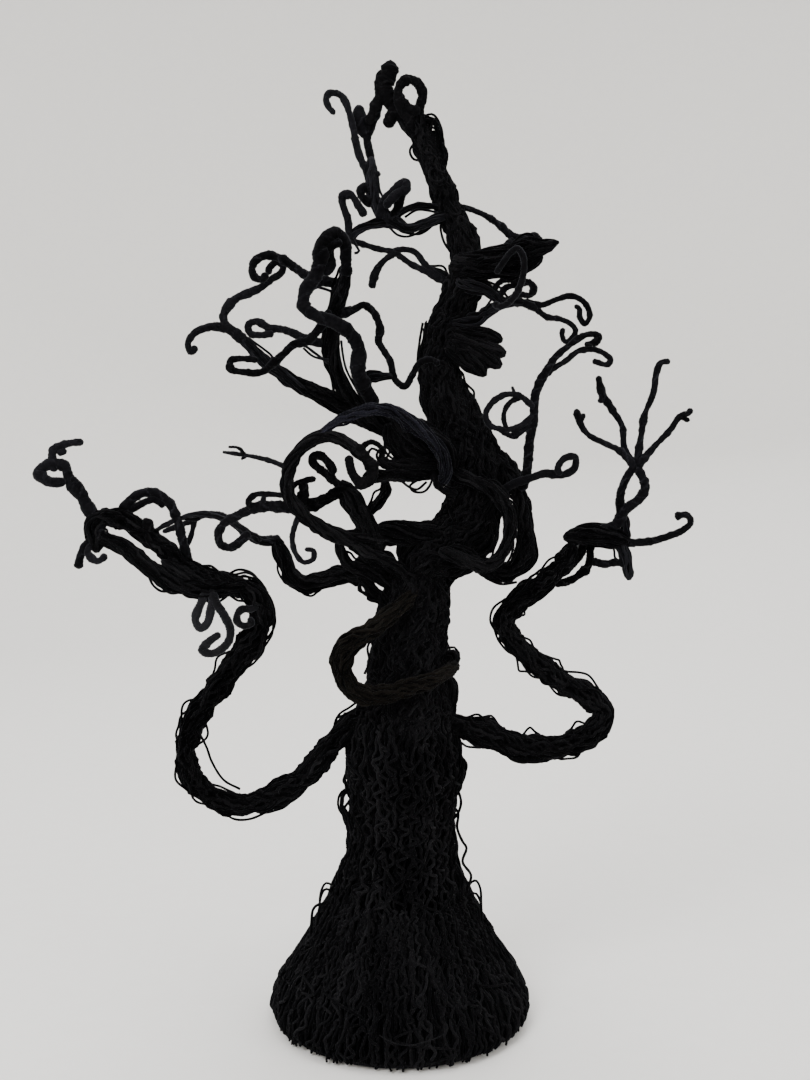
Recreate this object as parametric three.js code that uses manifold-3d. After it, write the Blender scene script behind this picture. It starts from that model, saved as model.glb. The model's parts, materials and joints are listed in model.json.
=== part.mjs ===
// Tabletop ornament tree: a bent-wire armature dressed in black yarn, standing on a weighted
// round foot under a flared yarn skirt. Millimetres, +Z up, front towards -Y.
// The origin is the centre of the foot, on the surface that it stands on.
import * as THREE from "three";
import Module from "manifold-3d";
import { mergeVertices } from "three/addons/utils/BufferGeometryUtils.js";

const wasm = await Module();
wasm.setup();

// ---- driving dimensions -------------------------------------------------------------------
const TREE_HEIGHT = 600;
const SKIRT_RADIUS = 82;
const SKIRT_TOP = 77.5;
const TRUNK_SPLIT = 184;
const CLEARANCE = 0.35; // hair's gap kept between pieces that touch
const JOINT_GAP = 3; // room at the root of a limb that can be posed

const FELT = { radius: 75, top: 2 };
const BOARD = { radius: 76, bottom: 2.4, top: 8.4 };
const WEIGHT = { inner: 21, lowRadius: 62, highRadius: 50, bottom: 8.8, top: 34 };
const CONE = { bottom: 8.8, top: 77, lowRadius: 69, highRadius: 33, wall: 2.4 };
const TUBE = { radius: 20, wall: 2, bottom: 8.8, top: 206 };
const PLUG = { radius: 17.6, bottom: 166, top: 184 };
const WIRE = { leader: 3, arm: 1.6, limb: 1.3, foot: 42 };
const PITCH = { twig: 6.5, wire: 11, leader: 12, perRadius: 1.5 }; // step along a strand
const STITCH = { radius: 80.4, height: 18.2, thread: 0.8 };

// Hinge centres: where a limb's wire bends when it is posed by hand.
const LEFT_ARM_PIVOT = [-28, -6, 197];
const RIGHT_ARM_PIVOT = [36, -5, 188];
const BOUGH_PIVOT = [-64, -22, 402];
const TWIG_PIVOT = [77, -14, 347];

// ---- routes of the limbs, [x, y, z] from root to tip ---------------------------------------
const LEADER = [
  [18, -1, 293], [30, -2, 302], [39, -3, 312], [46, -4, 326], [48, -4, 342], [43, -3, 360],
  [35.5, -1, 378], [28, 0, 395], [24, 2, 414], [27.5, 2, 432], [34, 2, 449], [40, 2, 467],
  [41, 1, 481], [38, 0, 494], [31, 0, 508], [26, 0, 522], [20, 0, 538], [15, 0, 551], [10, 0, 561],
];
const LEADER_SEAM = 8; // the leader's point where its lower yarn ends and its upper yarn starts
const LEFT_ARM = [
  [-42, -10, 178], [-61, -12, 156], [-87, -14, 141.5], [-107, -15, 140], [-126, -15, 151],
  [-134, -16, 170], [-128, -17, 192], [-109, -20, 220], [-90.5, -24, 246], [-84.5, -27, 261],
  [-89, -30, 274], [-103, -32, 280],
];
const FOREARM_TOP = [
  [-98, -31, 280], [-119, -31, 285], [-134, -31, 294], [-148, -32, 306], [-163, -33, 318],
    [-182, -34, 322],
];
const FOREARM_LOW = [
  [-100, -34, 279], [-119, -38, 277], [-138, -38, 283], [-152, -37, 292], [-166, -36, 303],
    [-183, -35, 310],
];
const RIGHT_ARM = [
  [52, -5, 183], [71, -3, 175], [91, -1, 172], [109, 0, 175], [125, 1, 184], [130, 2, 195],
  [119, 4, 205], [103, 6, 214], [87, 9, 226], [73, 12, 239], [67, 14, 252], [74, 15, 263],
  [91, 17, 275], [107, 19, 290],
];
const FRONT_LOOP = [
  [-9, -20, 310], [-28, -26, 307], [-45, -34, 313], [-57, -41, 322], [-65.5, -46, 334], [-66, -48, 347],
  [-59, -47, 361], [-46.5, -44, 369], [-32, -42, 366], [-20, -42, 355],
];
const BACK_LEFT = [
  [-14, 12, 283], [-36, 20, 282], [-51, 25, 277], [-63, 28, 274], [-72, 31, 280], [-76, 34, 290],
    [-82, 38, 303],
];
const BOUGH = [[18, -8, 369], [-10, -14, 379], [-28, -17, 386], [-45, -20, 393], [-59, -21.6, 399]];

// ---- finishes -----------------------------------------------------------------------------
const finish = (color, roughness, metalness = 0) => ({ color, roughness, metalness });
const YARN = finish(0x0c0c0f, 0.95);
const WRAP = finish(0x17171c, 0.95);
const THREAD = finish(0x1a1a1d, 0.9);
const STEEL = finish(0x8f9296, 0.4, 1);
const CARD = finish(0x8a7355, 0.9);
const PLASTER = finish(0xd6d2c8, 0.95);
const WOOD = finish(0x9c7b52, 0.8);
const PAD = finish(0x121214, 1);

// ---- solids -------------------------------------------------------------------------------
function solidFrom(geometry) {
  const bare = new THREE.BufferGeometry();
  bare.setAttribute("position", geometry.getAttribute("position"));
  bare.setIndex(geometry.index);
  const welded = mergeVertices(bare, 1e-4);
  const mesh = new wasm.Mesh({
    numProp: 3,
    vertProperties: new Float32Array(welded.attributes.position.array),
    triVerts: new Uint32Array(welded.index.array),
  });
  return new wasm.Manifold(mesh);
}

function geometryFrom(solid) {
  const mesh = solid.getMesh();
  const geometry = new THREE.BufferGeometry();
  geometry.setAttribute("position", new THREE.BufferAttribute(mesh.vertProperties, 3));
  geometry.setIndex(new THREE.BufferAttribute(mesh.triVerts, 1));
  return geometry;
}

// The one connected body that matters when a cut leaves crumbs behind.
function largestBody(solid) {
  const bodies = solid.decompose();
  bodies.sort((a, b) => b.volume() - a.volume());
  return bodies[0];
}

// A value that runs evenly through a list of stops as t goes from 0 to 1.
function along(stops, t) {
  if (stops.length === 1) {
    return stops[0];
  }
  const place = t * (stops.length - 1);
  const low = Math.min(Math.floor(place), stops.length - 2);
  return THREE.MathUtils.lerp(stops[low], stops[low + 1], place - low);
}

// A strand is a round bar bent along a smooth curve through its points, whose radius runs
// evenly through the list of radii from root to tip.
function strand(points, radii, sides = 5, pitch = PITCH.twig) {
  return { points: points.map((p) => new THREE.Vector3(...p)), radii: [radii].flat(), sides, pitch };
}

// Thick yarn bundles have rounder sections and longer steps than twigs.
function bundle(points, radii, sides = 8) {
  return strand(points, radii, sides, PITCH.perRadius * Math.max(...[radii].flat()));
}

function wire(points, radius) {
  return strand(points, radius, 4, PITCH.wire);
}

// The swelled copy is the room that a strand needs, its gap to its neighbours included.
function strandSolid(bar, swell) {
  const curve = new THREE.CatmullRomCurve3(bar.points, false, "centripetal");
  const steps = Math.max(3, Math.round(curve.getLength() / Math.max(bar.pitch, PITCH.twig)));
  const frames = curve.computeFrenetFrames(steps, false);
  const positions = [];
  const index = [];
  for (let i = 0; i <= steps; i += 1) {
    const centre = curve.getPointAt(i / steps);
    const overrun = { 0: -swell, [steps]: swell }[i] ?? 0;
    centre.addScaledVector(frames.tangents[i], overrun);
    const radius = along(bar.radii, i / steps) + swell;
    for (let j = 0; j < bar.sides; j += 1) {
      const angle = (2 * Math.PI * j) / bar.sides;
      const rim = centre.clone();
      rim.addScaledVector(frames.normals[i], radius * Math.cos(angle));
      rim.addScaledVector(frames.binormals[i], radius * Math.sin(angle));
      positions.push(rim.x, rim.y, rim.z);
    }
  }
  for (let i = 0; i < steps; i += 1) {
    for (let j = 0; j < bar.sides; j += 1) {
      const a = i * bar.sides + j;
      const b = i * bar.sides + ((j + 1) % bar.sides);
      index.push(a, b, b + bar.sides, a, b + bar.sides, a + bar.sides);
    }
  }
  const last = steps * bar.sides;
  for (let j = 1; j < bar.sides - 1; j += 1) {
    index.push(0, j + 1, j, last, last + j, last + j + 1);
  }
  const geometry = new THREE.BufferGeometry();
  geometry.setAttribute("position", new THREE.Float32BufferAttribute(positions, 3));
  geometry.setIndex(index);
  return solidFrom(geometry);
}

function joined(strands, swell) {
  const solids = strands.map((bar) => strandSolid(bar, swell));
  return solids.reduce((whole, next) => whole.add(next));
}

// A turned solid: its [radius, height] outline is a loop or starts and ends on the axis.
function turned(outline, segments) {
  const profile = outline.map(([r, z]) => new THREE.Vector2(r, z));
  const geometry = new THREE.LatheGeometry(profile, segments);
  geometry.rotateX(Math.PI / 2);
  geometry.deleteAttribute("normal");
  geometry.deleteAttribute("uv");
  return solidFrom(geometry);
}

// ---- assembly -----------------------------------------------------------------------------
const tree = new THREE.Group();
const placed = [];

function jointGroup(pivot) {
  const group = new THREE.Group();
  group.position.set(...pivot);
  tree.add(group);
  return group;
}

const leftArm = jointGroup(LEFT_ARM_PIVOT);
leftArm.userData.swing = [-8, -5, -2, 0, 3, 6, 9, 12, 15, 18, 21, 24, 25]; // degrees about its own Z
const rightArm = jointGroup(RIGHT_ARM_PIVOT);
const outerBough = jointGroup(BOUGH_PIVOT);
const rightTwig = jointGroup(TWIG_PIVOT);

function boxesMeet(a, b) {
  const boxA = a.boundingBox();
  const boxB = b.boundingBox();
  return [0, 1, 2].every((k) => boxA.min[k] <= boxB.max[k] && boxB.min[k] <= boxA.max[k]);
}

// The room of a fixed piece, as a swinging limb meets it from one end of its travel to the other.
function roomsAround(group, other) {
  if (other.group === group || !group.userData.swing) {
    return [other.room];
  }
  const { x, y, z } = group.position;
  const atPivot = other.room.translate([-x, -y, -z]);
  return group.userData.swing.map((degrees) => atPivot.rotate([0, 0, -degrees]).translate([x, y, z]));
}

// Adds a piece after cutting away the room that earlier pieces keep for themselves. So a wire
// added first leaves its own bore in the yarn around it, and a twig sits on its limb.
function add(group, name, look, solid, room) {
  const rivals = placed.flatMap((other) => roomsAround(group, other));
  const near = rivals.filter((other) => boxesMeet(solid, other));
  const rest = near.reduce((whole, other) => whole.subtract(other), solid);
  const body = near.length > 0 ? largestBody(rest) : rest;
  placed.push({ group, room });
  const geometry = geometryFrom(body);
  geometry.translate(-group.position.x, -group.position.y, -group.position.z);
  const mesh = new THREE.Mesh(geometry, new THREE.MeshStandardMaterial(look));
  mesh.name = name;
  group.add(mesh);
}

function addStrands(group, name, look, ...strands) {
  add(group, name, look, joined(strands, 0), joined(strands, CLEARANCE));
}

function addTurned(name, look, outline, segments = 36) {
  add(tree, name, look, turned(outline(0), segments), turned(outline(CLEARANCE), segments));
}

// ---- foot ---------------------------------------------------------------------------------
function disc(radius, bottom, top) {
  return (swell) => [[0, bottom - swell], [radius + swell, bottom - swell],
    [radius + swell, top + swell], [0, top + swell]];
}

// A ring with sloping walls, from its bottom radii to its top radii.
function slopedRing(bottom, [innerLow, outerLow], top, [innerHigh, outerHigh]) {
  return (swell) => [
    [innerLow - swell, bottom - swell],
    [outerLow + swell, bottom - swell],
    [outerHigh + swell, top + swell],
    [innerHigh - swell, top + swell],
    [innerLow - swell, bottom - swell],
  ];
}

function coneRadius(z) {
  return THREE.MathUtils.mapLinear(z, CONE.bottom, CONE.top, CONE.lowRadius, CONE.highRadius);
}

addTurned("base_felt", PAD, disc(FELT.radius, 0, FELT.top));
addTurned("base_board", WOOD, disc(BOARD.radius, BOARD.bottom, BOARD.top));
addTurned(
  "base_weight",
  PLASTER,
  slopedRing(WEIGHT.bottom, [WEIGHT.inner, WEIGHT.lowRadius],
    WEIGHT.top, [WEIGHT.inner, WEIGHT.highRadius])
);
addTurned(
  "foot_cone",
  CARD,
  slopedRing(
    CONE.bottom,
    [CONE.lowRadius - CONE.wall, CONE.lowRadius],
    CONE.top,
    [CONE.highRadius - CONE.wall, CONE.highRadius]
  )
);

// ---- armature -----------------------------------------------------------------------------
addStrands(
  tree,
  "leader_wire",
  STEEL,
  strand([[0, 0, WIRE.foot], [0, 0, 150], [1, 0, 258], [7, 0, 280], ...LEADER.slice(0, -2)],
    WIRE.leader, 5, PITCH.leader)
);
addStrands(
  tree,
  "arm_cross_wire",
  STEEL,
  wire([[-24.5, -6, 199.5], [-12, -6, 198], [4, -6, 195], [20, -6, 191], [32.5, -5, 189]], WIRE.arm)
);
addStrands(
  leftArm,
  "left_arm_wire",
  STEEL,
  wire([[-29.5, -7, 195], ...LEFT_ARM, [-122, -33, 286], [-150, -33, 306], [-172, -34, 319]], WIRE.arm)
);
addStrands(
  rightArm,
  "right_arm_wire",
  STEEL,
  wire([[37.5, -5, 187.5], ...RIGHT_ARM, [118, 20, 303], [138, 20, 305]], WIRE.arm)
);
addStrands(tree, "front_loop_wire", STEEL, wire([[26, -8, 311], ...FRONT_LOOP.slice(0, -1)], WIRE.limb));
addStrands(tree, "back_left_wire", STEEL, wire([[-6, 9, 284], ...BACK_LEFT.slice(0, -1)], WIRE.limb));
addStrands(tree, "bough_wire", STEEL, wire([[26, -4, 375], ...BOUGH], WIRE.limb));

// ---- trunk --------------------------------------------------------------------------------
addTurned("trunk_plug", WOOD, disc(PLUG.radius, PLUG.bottom, PLUG.top), 24);
addTurned(
  "trunk_tube",
  CARD,
  slopedRing(TUBE.bottom, [TUBE.radius - TUBE.wall, TUBE.radius],
    TUBE.top, [TUBE.radius - TUBE.wall, TUBE.radius]),
  24
);

// The skirt flares from the trunk to a rounded rim, over the cone and outside the board.
function skirt(swell) {
  const inside = BOARD.radius + 1 - swell;
  const outer = [[79, 0.6], [SKIRT_RADIUS, 5], [81.5, 13], [75.5, 26], [66, 40], [57, 54], [49.5, 66],
    [45, SKIRT_TOP]];
  return [
    [inside, 0.6],
    ...outer.map(([r, z]) => [r + swell, z]),
    [coneRadius(SKIRT_TOP) + 0.6 - swell, SKIRT_TOP],
    [coneRadius(12) + 0.6 - swell, 12],
    [inside, 11],
    [inside, 0.6],
  ];
}
addTurned("skirt_yarn", YARN, skirt, 40);
addTurned(
  "skirt_stitch",
  THREAD,
  slopedRing(
    STITCH.height,
    [STITCH.radius - STITCH.thread, STITCH.radius],
    STITCH.height + 2 * STITCH.thread,
    [STITCH.radius - STITCH.thread, STITCH.radius]
  ),
  40
);

function trunkSleeve(swell) {
  const bore = TUBE.radius + 0.5 - swell;
  const foot = SKIRT_TOP + CLEARANCE;
  const outer = [[45, foot], [41, 90], [36, 105], [35.5, 130], [37, 150], [38.5, 168],
    [34.5, TRUNK_SPLIT]];
  return [[bore, foot], ...outer.map(([r, z]) => [r + swell, z]), [bore, TRUNK_SPLIT], [bore, foot]];
}
addTurned("trunk_yarn_lower", YARN, trunkSleeve, 32);
addStrands(
  tree,
  "trunk_yarn_upper",
  YARN,
  bundle(
    [[3.5, 0, TRUNK_SPLIT + CLEARANCE], [4.8, 0, 201], [6.2, 0, 216], [5.6, 0, 231], [6.4, 0, 246],
      [8.6, 0, 260], [11.5, 0, 275], [15, 0, 287]],
    [31.5, 31, 28.5, 25.8, 24, 22.8, 21.6, 21.2],
    18
  )
);

// ---- leader and its bundles ---------------------------------------------------------------
addStrands(
  tree,
  "leader_yarn_lower",
  YARN,
  bundle([[15, 0, 287.5], ...LEADER.slice(0, LEADER_SEAM + 1)],
    [21.5, 21, 19, 18, 18.5, 18.5, 18.5, 17, 14.6, 12.4, 11.6], 12),
  bundle([[47, -4, 346], [53, -5, 328], [54.5, -7, 312], [48, -9, 300], [36, -10, 290]], [9, 8, 7, 7, 8])
);
addStrands(
  tree,
  "leader_yarn_upper",
  YARN,
  bundle(LEADER.slice(LEADER_SEAM), [12, 12.2, 12.6, 11.6, 10, 9.4, 9, 8.6, 8.2, 8, 8], 10)
);
addStrands(
  tree,
  "ear_loop_yarn",
  YARN,
  bundle([[44, -8, 364], [57, -8, 357], [66, -10, 349], [71, -13, 337], [74, -15, 322], [76.5, -15, 307],
    [75.5, -15, 294.5], [69, -15, 287], [60, -16, 286], [49, -18, 291], [38, -20, 297]],
    [6, 6, 6.4, 5.6, 5.6, 6, 6.4, 6.4, 6, 5.6, 5]),
  bundle([[30, -20, 347], [43, -26, 343], [54, -28, 338], [61.5, -29, 331], [65.5, -29, 322],
    [66, -28, 312], [64, -27, 302], [59, -27, 295], [52, -27, 291], [42, -28, 293.5], [32, -26, 298],
    [22, -24, 300]],
    [4.4, 4.4, 4.6, 4.8, 5, 4.8, 4.6, 4.4, 4.2, 4.2])
);
addStrands(
  tree,
  "front_band_yarn",
  YARN,
  bundle([[4, -20, 270], [-8, -27, 260], [-17, -31, 252.5], [-27, -34, 246.5], [-33.5, -35, 240],
    [-35, -35, 231.5], [-32.5, -35, 221.5], [-28, -36, 216], [-20, -37, 213.5], [-8, -37, 213.5],
    [3, -35, 216.8], [14, -32.5, 220], [24, -27, 223], [31, -19, 225.5]],
    [4.6, 5, 5.2, 6, 7, 7, 6.4, 6, 5.8, 5.6, 5, 4.6, 4.2])
);
addStrands(
  tree,
  "right_tuft",
  YARN,
  strand([[34, -6, 432], [50, -12, 429], [62, -18, 425]], [6, 6, 4]),
  strand([[34, -8, 428], [48, -16, 421], [60, -22, 413]], [6, 6, 4]),
  strand([[34, -8, 426], [46, -16, 416], [53, -22, 406]], [6, 6, 4]),
  strand([[33, -8, 426], [41, -17, 416]], [6, 4])
);
addStrands(
  tree,
  "upper_right_bundle",
  YARN,
  bundle([[40, -8, 476], [50, -18, 475], [61, -24, 474], [71, -29, 475.5], [79, -33, 478], [86, -37, 480.5],
    [94, -40, 482.5]],
    [8, 8.5, 8.5, 8, 6.6, 4.5, 2.8])
);
addStrands(
  tree,
  "bundle_curl_twig",
  WRAP,
  strand([[60.5, -35, 471], [65, -37, 477], [69, -39, 479.5], [72.5, -40, 475], [73, -40, 466],
    [71, -36, 457.5], [66.5, -30, 450.5], [61, -24, 447.5]], 1.9)
);
addStrands(
  tree,
  "upper_right_twig",
  WRAP,
  strand([[32, -5, 440], [38, -7, 439.5], [48, -9, 442], [56, -11, 447.5], [64, -12, 451], [74, -12, 452]],
    [4.6, 5, 4.6, 3.6, 3, 2.4]),
  strand([[72, -12, 452], [80.5, -12, 451], [87, -12, 450], [95, -12, 453], [104, -12, 455.4],
    [110.2, -12, 453.6], [114.8, -12, 448.8], [116.2, -12, 442.7], [113.4, -12, 438.6], [110.2, -12, 442.4],
    [109.6, -13, 447.5], [106.5, -14, 449.4]], [2.2, 1.7]),
  strand([[72, -13.5, 452], [79.4, -14, 449.3], [83.9, -12, 447], [90.5, -9, 443], [98.8, -5, 442.3],
    [106.5, -2, 439.2], [109.2, -1, 435.5], [106.8, -1, 430.9], [102.8, -1, 428.8], [100.8, -1, 432.9],
    [101.5, -1, 437.4]], [2.2, 1.7])
);
addStrands(
  tree,
  "bundle_coil_twig",
  WRAP,
  strand([[40, -8, 463.5], [44, -12, 461.5], [51.5, -15, 459.5], [57.5, -17, 456], [63, -18, 453]],
    [5.4, 5, 4.4, 3.4]),
  strand([[60.5, -18, 453.7], [63.6, -20, 459], [71.4, -20, 461], [78.7, -20, 462], [81, -19, 458.5],
    [78.7, -18, 455], [73.3, -18, 455.5]], 1.9)
);
addStrands(
  tree,
  "teardrop_twig",
  WRAP,
  strand([[66, -20, 338], [79, -23, 344], [88, -25, 347], [98, -24, 346], [106, -23, 350],
    [106, -26, 357],
    [99, -29, 356], [95, -31, 350]], [2.6, 2])
);

// ---- front limbs --------------------------------------------------------------------------
addStrands(
  tree,
  "front_loop_yarn",
  YARN,
  bundle([[16, -12, 311], ...FRONT_LOOP], [8, 8, 8, 5.5, 4.4, 4.2, 4, 3.8, 3.8, 3.6, 3.6, 3.4]),
  bundle([[-38, -27, 307], [-36, -20, 298], [-31, -16, 291], [-22, -14, 287], [-14, -12, 283], [-5, -8, 277]],
    [3.4, 3.8, 3.8, 4.2, 4]),
  bundle([[-24, -13, 285], [-21, -12, 278], [-16.5, -12, 273.5], [-11, -12, 269]], [3.4, 3.6, 3.6]),
  strand([[-20, -43, 354], [-16, -44, 348], [-20, -46, 343], [-26, -48, 347], [-27, -49, 357]],
    [3.4, 2.6])
);
addStrands(
  tree,
  "side_loop_twig",
  WRAP,
  strand([[-63, -44, 327], [-70, -44, 327.5], [-84.8, -43, 327.3], [-95.6, -43, 322.6], [-105, -43, 317],
    [-108, -43, 311], [-106.5, -42, 304.8], [-100.5, -41, 303.2], [-94.5, -40, 307.5], [-89.7, -39, 312]],
    [3.4, 2.9, 2.6, 2.4, 2.3]),
  strand([[-64, -44, 333], [-76, -46, 335], [-86, -46, 334.5], [-89.5, -46, 330.5], [-88, -45, 326]], 1.6)
);
addStrands(
  tree,
  "arrow_twig",
  WRAP,
  strand([[-64, -46, 350], [-78, -42, 355], [-92, -36, 358], [-106, -30, 360]], [1.5, 1])
);
addStrands(
  tree,
  "hanging_hook_twig",
  WRAP,
  strand([[-60, -42, 323], [-64, -38, 309], [-63, -37, 300], [-58, -37, 294], [-52, -38, 296],
    [-56, -40, 302]], 1.6)
);
addStrands(
  tree,
  "inner_stub_limb",
  YARN,
  bundle([[-16, -22, 308], [-25, -28, 323], [-32, -32, 338]], [6.5, 6.5, 6]),
  strand([[-22, -24, 322], [-16, -23, 326], [-11.6, -24, 331], [-8.8, -24, 336.5], [-9.2, -24, 343]],
    [3.4, 3.6, 3.4, 3]),
  strand([[-31, -33, 336], [-35, -35, 339], [-44.9, -36, 347.4], [-51.8, -36, 353.4], [-52, -36.5, 357.4],
    [-47.9, -37, 358], [-43, -37.5, 354], [-38.5, -38, 348]], [2.7, 2.3, 2.4]),
  strand([[-30, -33, 338], [-34.6, -36, 338.5], [-41.8, -38, 334.3], [-49, -38, 331.3], [-58, -39, 330.3]],
    [2.6, 2.2]),
  strand([[-32, -34, 336], [-44, -37, 330.7], [-51, -38, 327], [-59, -40, 326]], 2.2),
  strand([[-58, -38.5, 327], [-58, -38.5, 333], [-57.3, -38, 337], [-58.4, -38, 342]], [3, 2.8, 2]),
  strand([[-64, -39, 338], [-62, -39, 341], [-58, -39, 342.6], [-50, -39, 344.2]], 1.6)
);
addStrands(
  tree,
  "spiral_limb",
  YARN,
  bundle([[-45, -44, 372], [-35, -42, 379], [-22, -42, 384], [-9, -42, 385], [4, -42, 379.5],
    [15, -40, 371],
    [24.5, -36, 360], [28, -32, 348], [23, -30, 340]], [3.2, 3.8, 4.2, 4.2, 4.2, 4, 3.6])
);
addStrands(
  tree,
  "spiral_coil",
  YARN,
  bundle([[24, -20, 349], [10, -26, 348], [-3, -29, 351], [-7, -30, 361], [0, -31, 370], [10, -32, 370],
    [17, -30, 362], [12, -28, 356]], [7, 7, 7, 7, 6.5])
);

// ---- left limbs ---------------------------------------------------------------------------
addStrands(tree, "back_left_yarn", YARN, bundle(BACK_LEFT, [6.5, 6, 6, 6, 5.5, 5, 4.4]));
addStrands(
  tree,
  "back_left_twig",
  WRAP,
  strand([[-83, 38.4, 303], [-94, 40, 302], [-103, 42, 307], [-112, 44, 314], [-120, 46, 318],
    [-130, 48, 319],
    [-142, 50, 314], [-160, 50, 307]], [3.2, 2.6, 2.1, 1.8]),
  strand([[-138, 50, 316], [-141, 50, 304], [-145, 50, 295]], [1.8, 1.5])
);
addStrands(tree, "bough_yarn", YARN, bundle(BOUGH, [10, 10, 9, 7.4, 5.8]));
addStrands(
  tree,
  "upright_limb",
  YARN,
  bundle([[-22, -20, 386], [-34, -27, 398], [-40.5, -31, 413], [-41, -34, 428], [-38, -38, 445],
    [-33, -42, 460],
    [-30, -44, 473], [-29.5, -46, 481]], [5, 4, 4, 5.2, 5.5, 4.6, 3.4, 3])
);
addStrands(
  tree,
  "arch_limb",
  WRAP,
  strand([[-29, -47, 484], [-34, -49, 487], [-39, -50, 484], [-43, -50, 474], [-49, -50, 462],
    [-55, -50, 453],
    [-55.5, -50, 444], [-49, -50, 439], [-39, -49, 435.5], [-30, -46, 430], [-25, -42, 421],
    [-25, -36, 408],
    [-21, -30, 398], [-17, -24, 391]], [4, 5, 5, 3.8, 3.4, 3.4, 3.6, 3.4, 3.4, 3.6, 3.8], 6)
);
addStrands(
  tree,
  "left_curl_twig",
  WRAP,
  strand([[-42, -28, 423], [-55, -26, 427], [-63, -24, 431], [-71, -22, 434], [-79, -21, 435],
    [-87, -20, 439],
    [-92, -20, 437], [-91, -21, 432], [-86, -24, 430.5], [-76, -26, 431]], [2.4, 2])
);
addStrands(
  tree,
  "top_curl_twig",
  WRAP,
  strand([[-34, -38, 459], [-48, -34, 462], [-56, -32, 465], [-63, -30, 470], [-71, -30, 475],
    [-79, -30, 477],
    [-86, -30, 474], [-88, -31, 468], [-84, -32, 462], [-80, -33, 465]], [3, 2.6, 2.2])
);
addStrands(
  tree,
  "front_long_loop",
  WRAP,
  strand([[-43, -44, 439], [-50, -44, 429], [-54, -44, 425], [-62, -44, 423], [-69, -43, 417],
    [-76, -42, 411],
    [-82, -41, 407], [-92, -40, 407], [-100, -40, 409], [-100, -39, 414], [-91, -39, 415],
    [-84, -39, 414]], [2.4, 1.9])
);
addStrands(
  tree,
  "wavy_twig",
  WRAP,
  strand([[-37, -36, 441], [-29, -30, 444], [-22, -27, 448], [-16, -26, 444], [-12, -25, 434],
    [-13, -24, 427],
    [-6, -22, 415], [-3, -20, 404], [3, -19, 400], [7, -19, 406], [12, -20, 414], [19, -20, 416],
    [24, -19, 413]], 2)
);

// ---- crown --------------------------------------------------------------------------------
addStrands(
  tree,
  "crown_left_limb",
  WRAP,
  strand([[33, -2, 506], [24, -5, 504], [14, -7, 499.5], [4, -8, 498], [-5, -8, 501], [-14, -8, 500],
    [-24, -9, 497],
    [-31, -10, 491]], [3.8, 3.4, 3.2, 2.6]),
  strand([[-31, -10, 490], [-32, -11, 502], [-35, -11, 511], [-35, -12, 516], [-30, -13, 516],
    [-25, -14, 509],
    [-22, -15, 504]], 2.2),
  strand([[-4, -8, 502], [-1, -10, 511], [3, -13, 523], [-1, -15, 524], [-5, -16, 518],
    [-6, -17, 514]], 2.4),
  strand([[33, -2, 506], [24, -4, 510], [17, -5, 512], [12, -5, 512], [6, -6, 510], [0, -7, 506.5],
    [-5, -8, 502.5]], [2.6, 2.1, 2.1, 2.6]),
  strand([[-16, -6, 513], [-21, -6, 514.6], [-24, -6, 517.6], [-23.8, -6, 521.2]], 2.6),
  strand([[-6, -8, 500], [-11.5, -7, 507], [-16, -5, 516], [-17.5, -5, 526], [-17.5, -4, 531]],
    [4.6, 4.6, 3.8])
);
addStrands(
  tree,
  "crown_tall_twig",
  WRAP,
  strand([[-20.5, -4, 532], [-24.7, -3, 541.2], [-27.1, -3, 549.7], [-28.9, -3, 558.7], [-30.8, -3, 566.5],
    [-33.5, -3, 574.4], [-37.5, -3, 579], [-43, -3, 579.6], [-45.4, -3, 576.4], [-44.2, -3, 572],
    [-40, -3, 567]], [2.3, 2.1, 2, 1.8])
);
addStrands(
  tree,
  "crown_leaf_twig",
  WRAP,
  strand([[-17, -1, 529], [-19, 3, 541], [-21, 4, 555], [-18, 4, 563], [-14, 3, 572]], [2, 2.2, 2.8]),
  strand([[-21, 4, 556], [-24, 4, 563], [-25, 4, 572]], [2.4, 3.2, 3])
);
addStrands(
  tree,
  "crown_ring",
  YARN,
  bundle([[9, -1, 560], [1, -5, 568], [-1, -8, 578], [4, -8, 586], [10, -7, 586], [14, -5, 580],
    [12, -2, 571],
    [11, 1, 565]], 2.9, 6)
);
addStrands(
  tree,
  "crown_cap",
  YARN,
  bundle([[7, 0, 561], [-4, 1, 566], [-9, 1, 576], [-8, 0, 588], [-6, 0, TREE_HEIGHT]], [6, 7, 7, 6, 3.4])
);
addStrands(
  tree,
  "cross_twig",
  WRAP,
  strand([[-28, -6, 489], [-14, 0, 486], [-4, 4, 484.5], [6, 5, 478], [18, 5, 472], [32, 3, 464]],
    [1.8, 1.8, 2.4]),
  strand([[-3, 4, 484], [-12, 3, 478], [-16, 2, 471], [-18, 2, 462]], [1.8, 2.4])
);
addStrands(
  tree,
  "crown_right_twig",
  WRAP,
  strand([[34, 2, 511], [50, 3, 505], [60, 3, 497], [67, 3, 493], [76, 2, 494], [83, 0, 489]],
    [1.8, 1.6, 2]),
  strand([[67, 3, 493], [60, -3, 486], [54, -8, 482]], 1.6)
);

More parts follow.
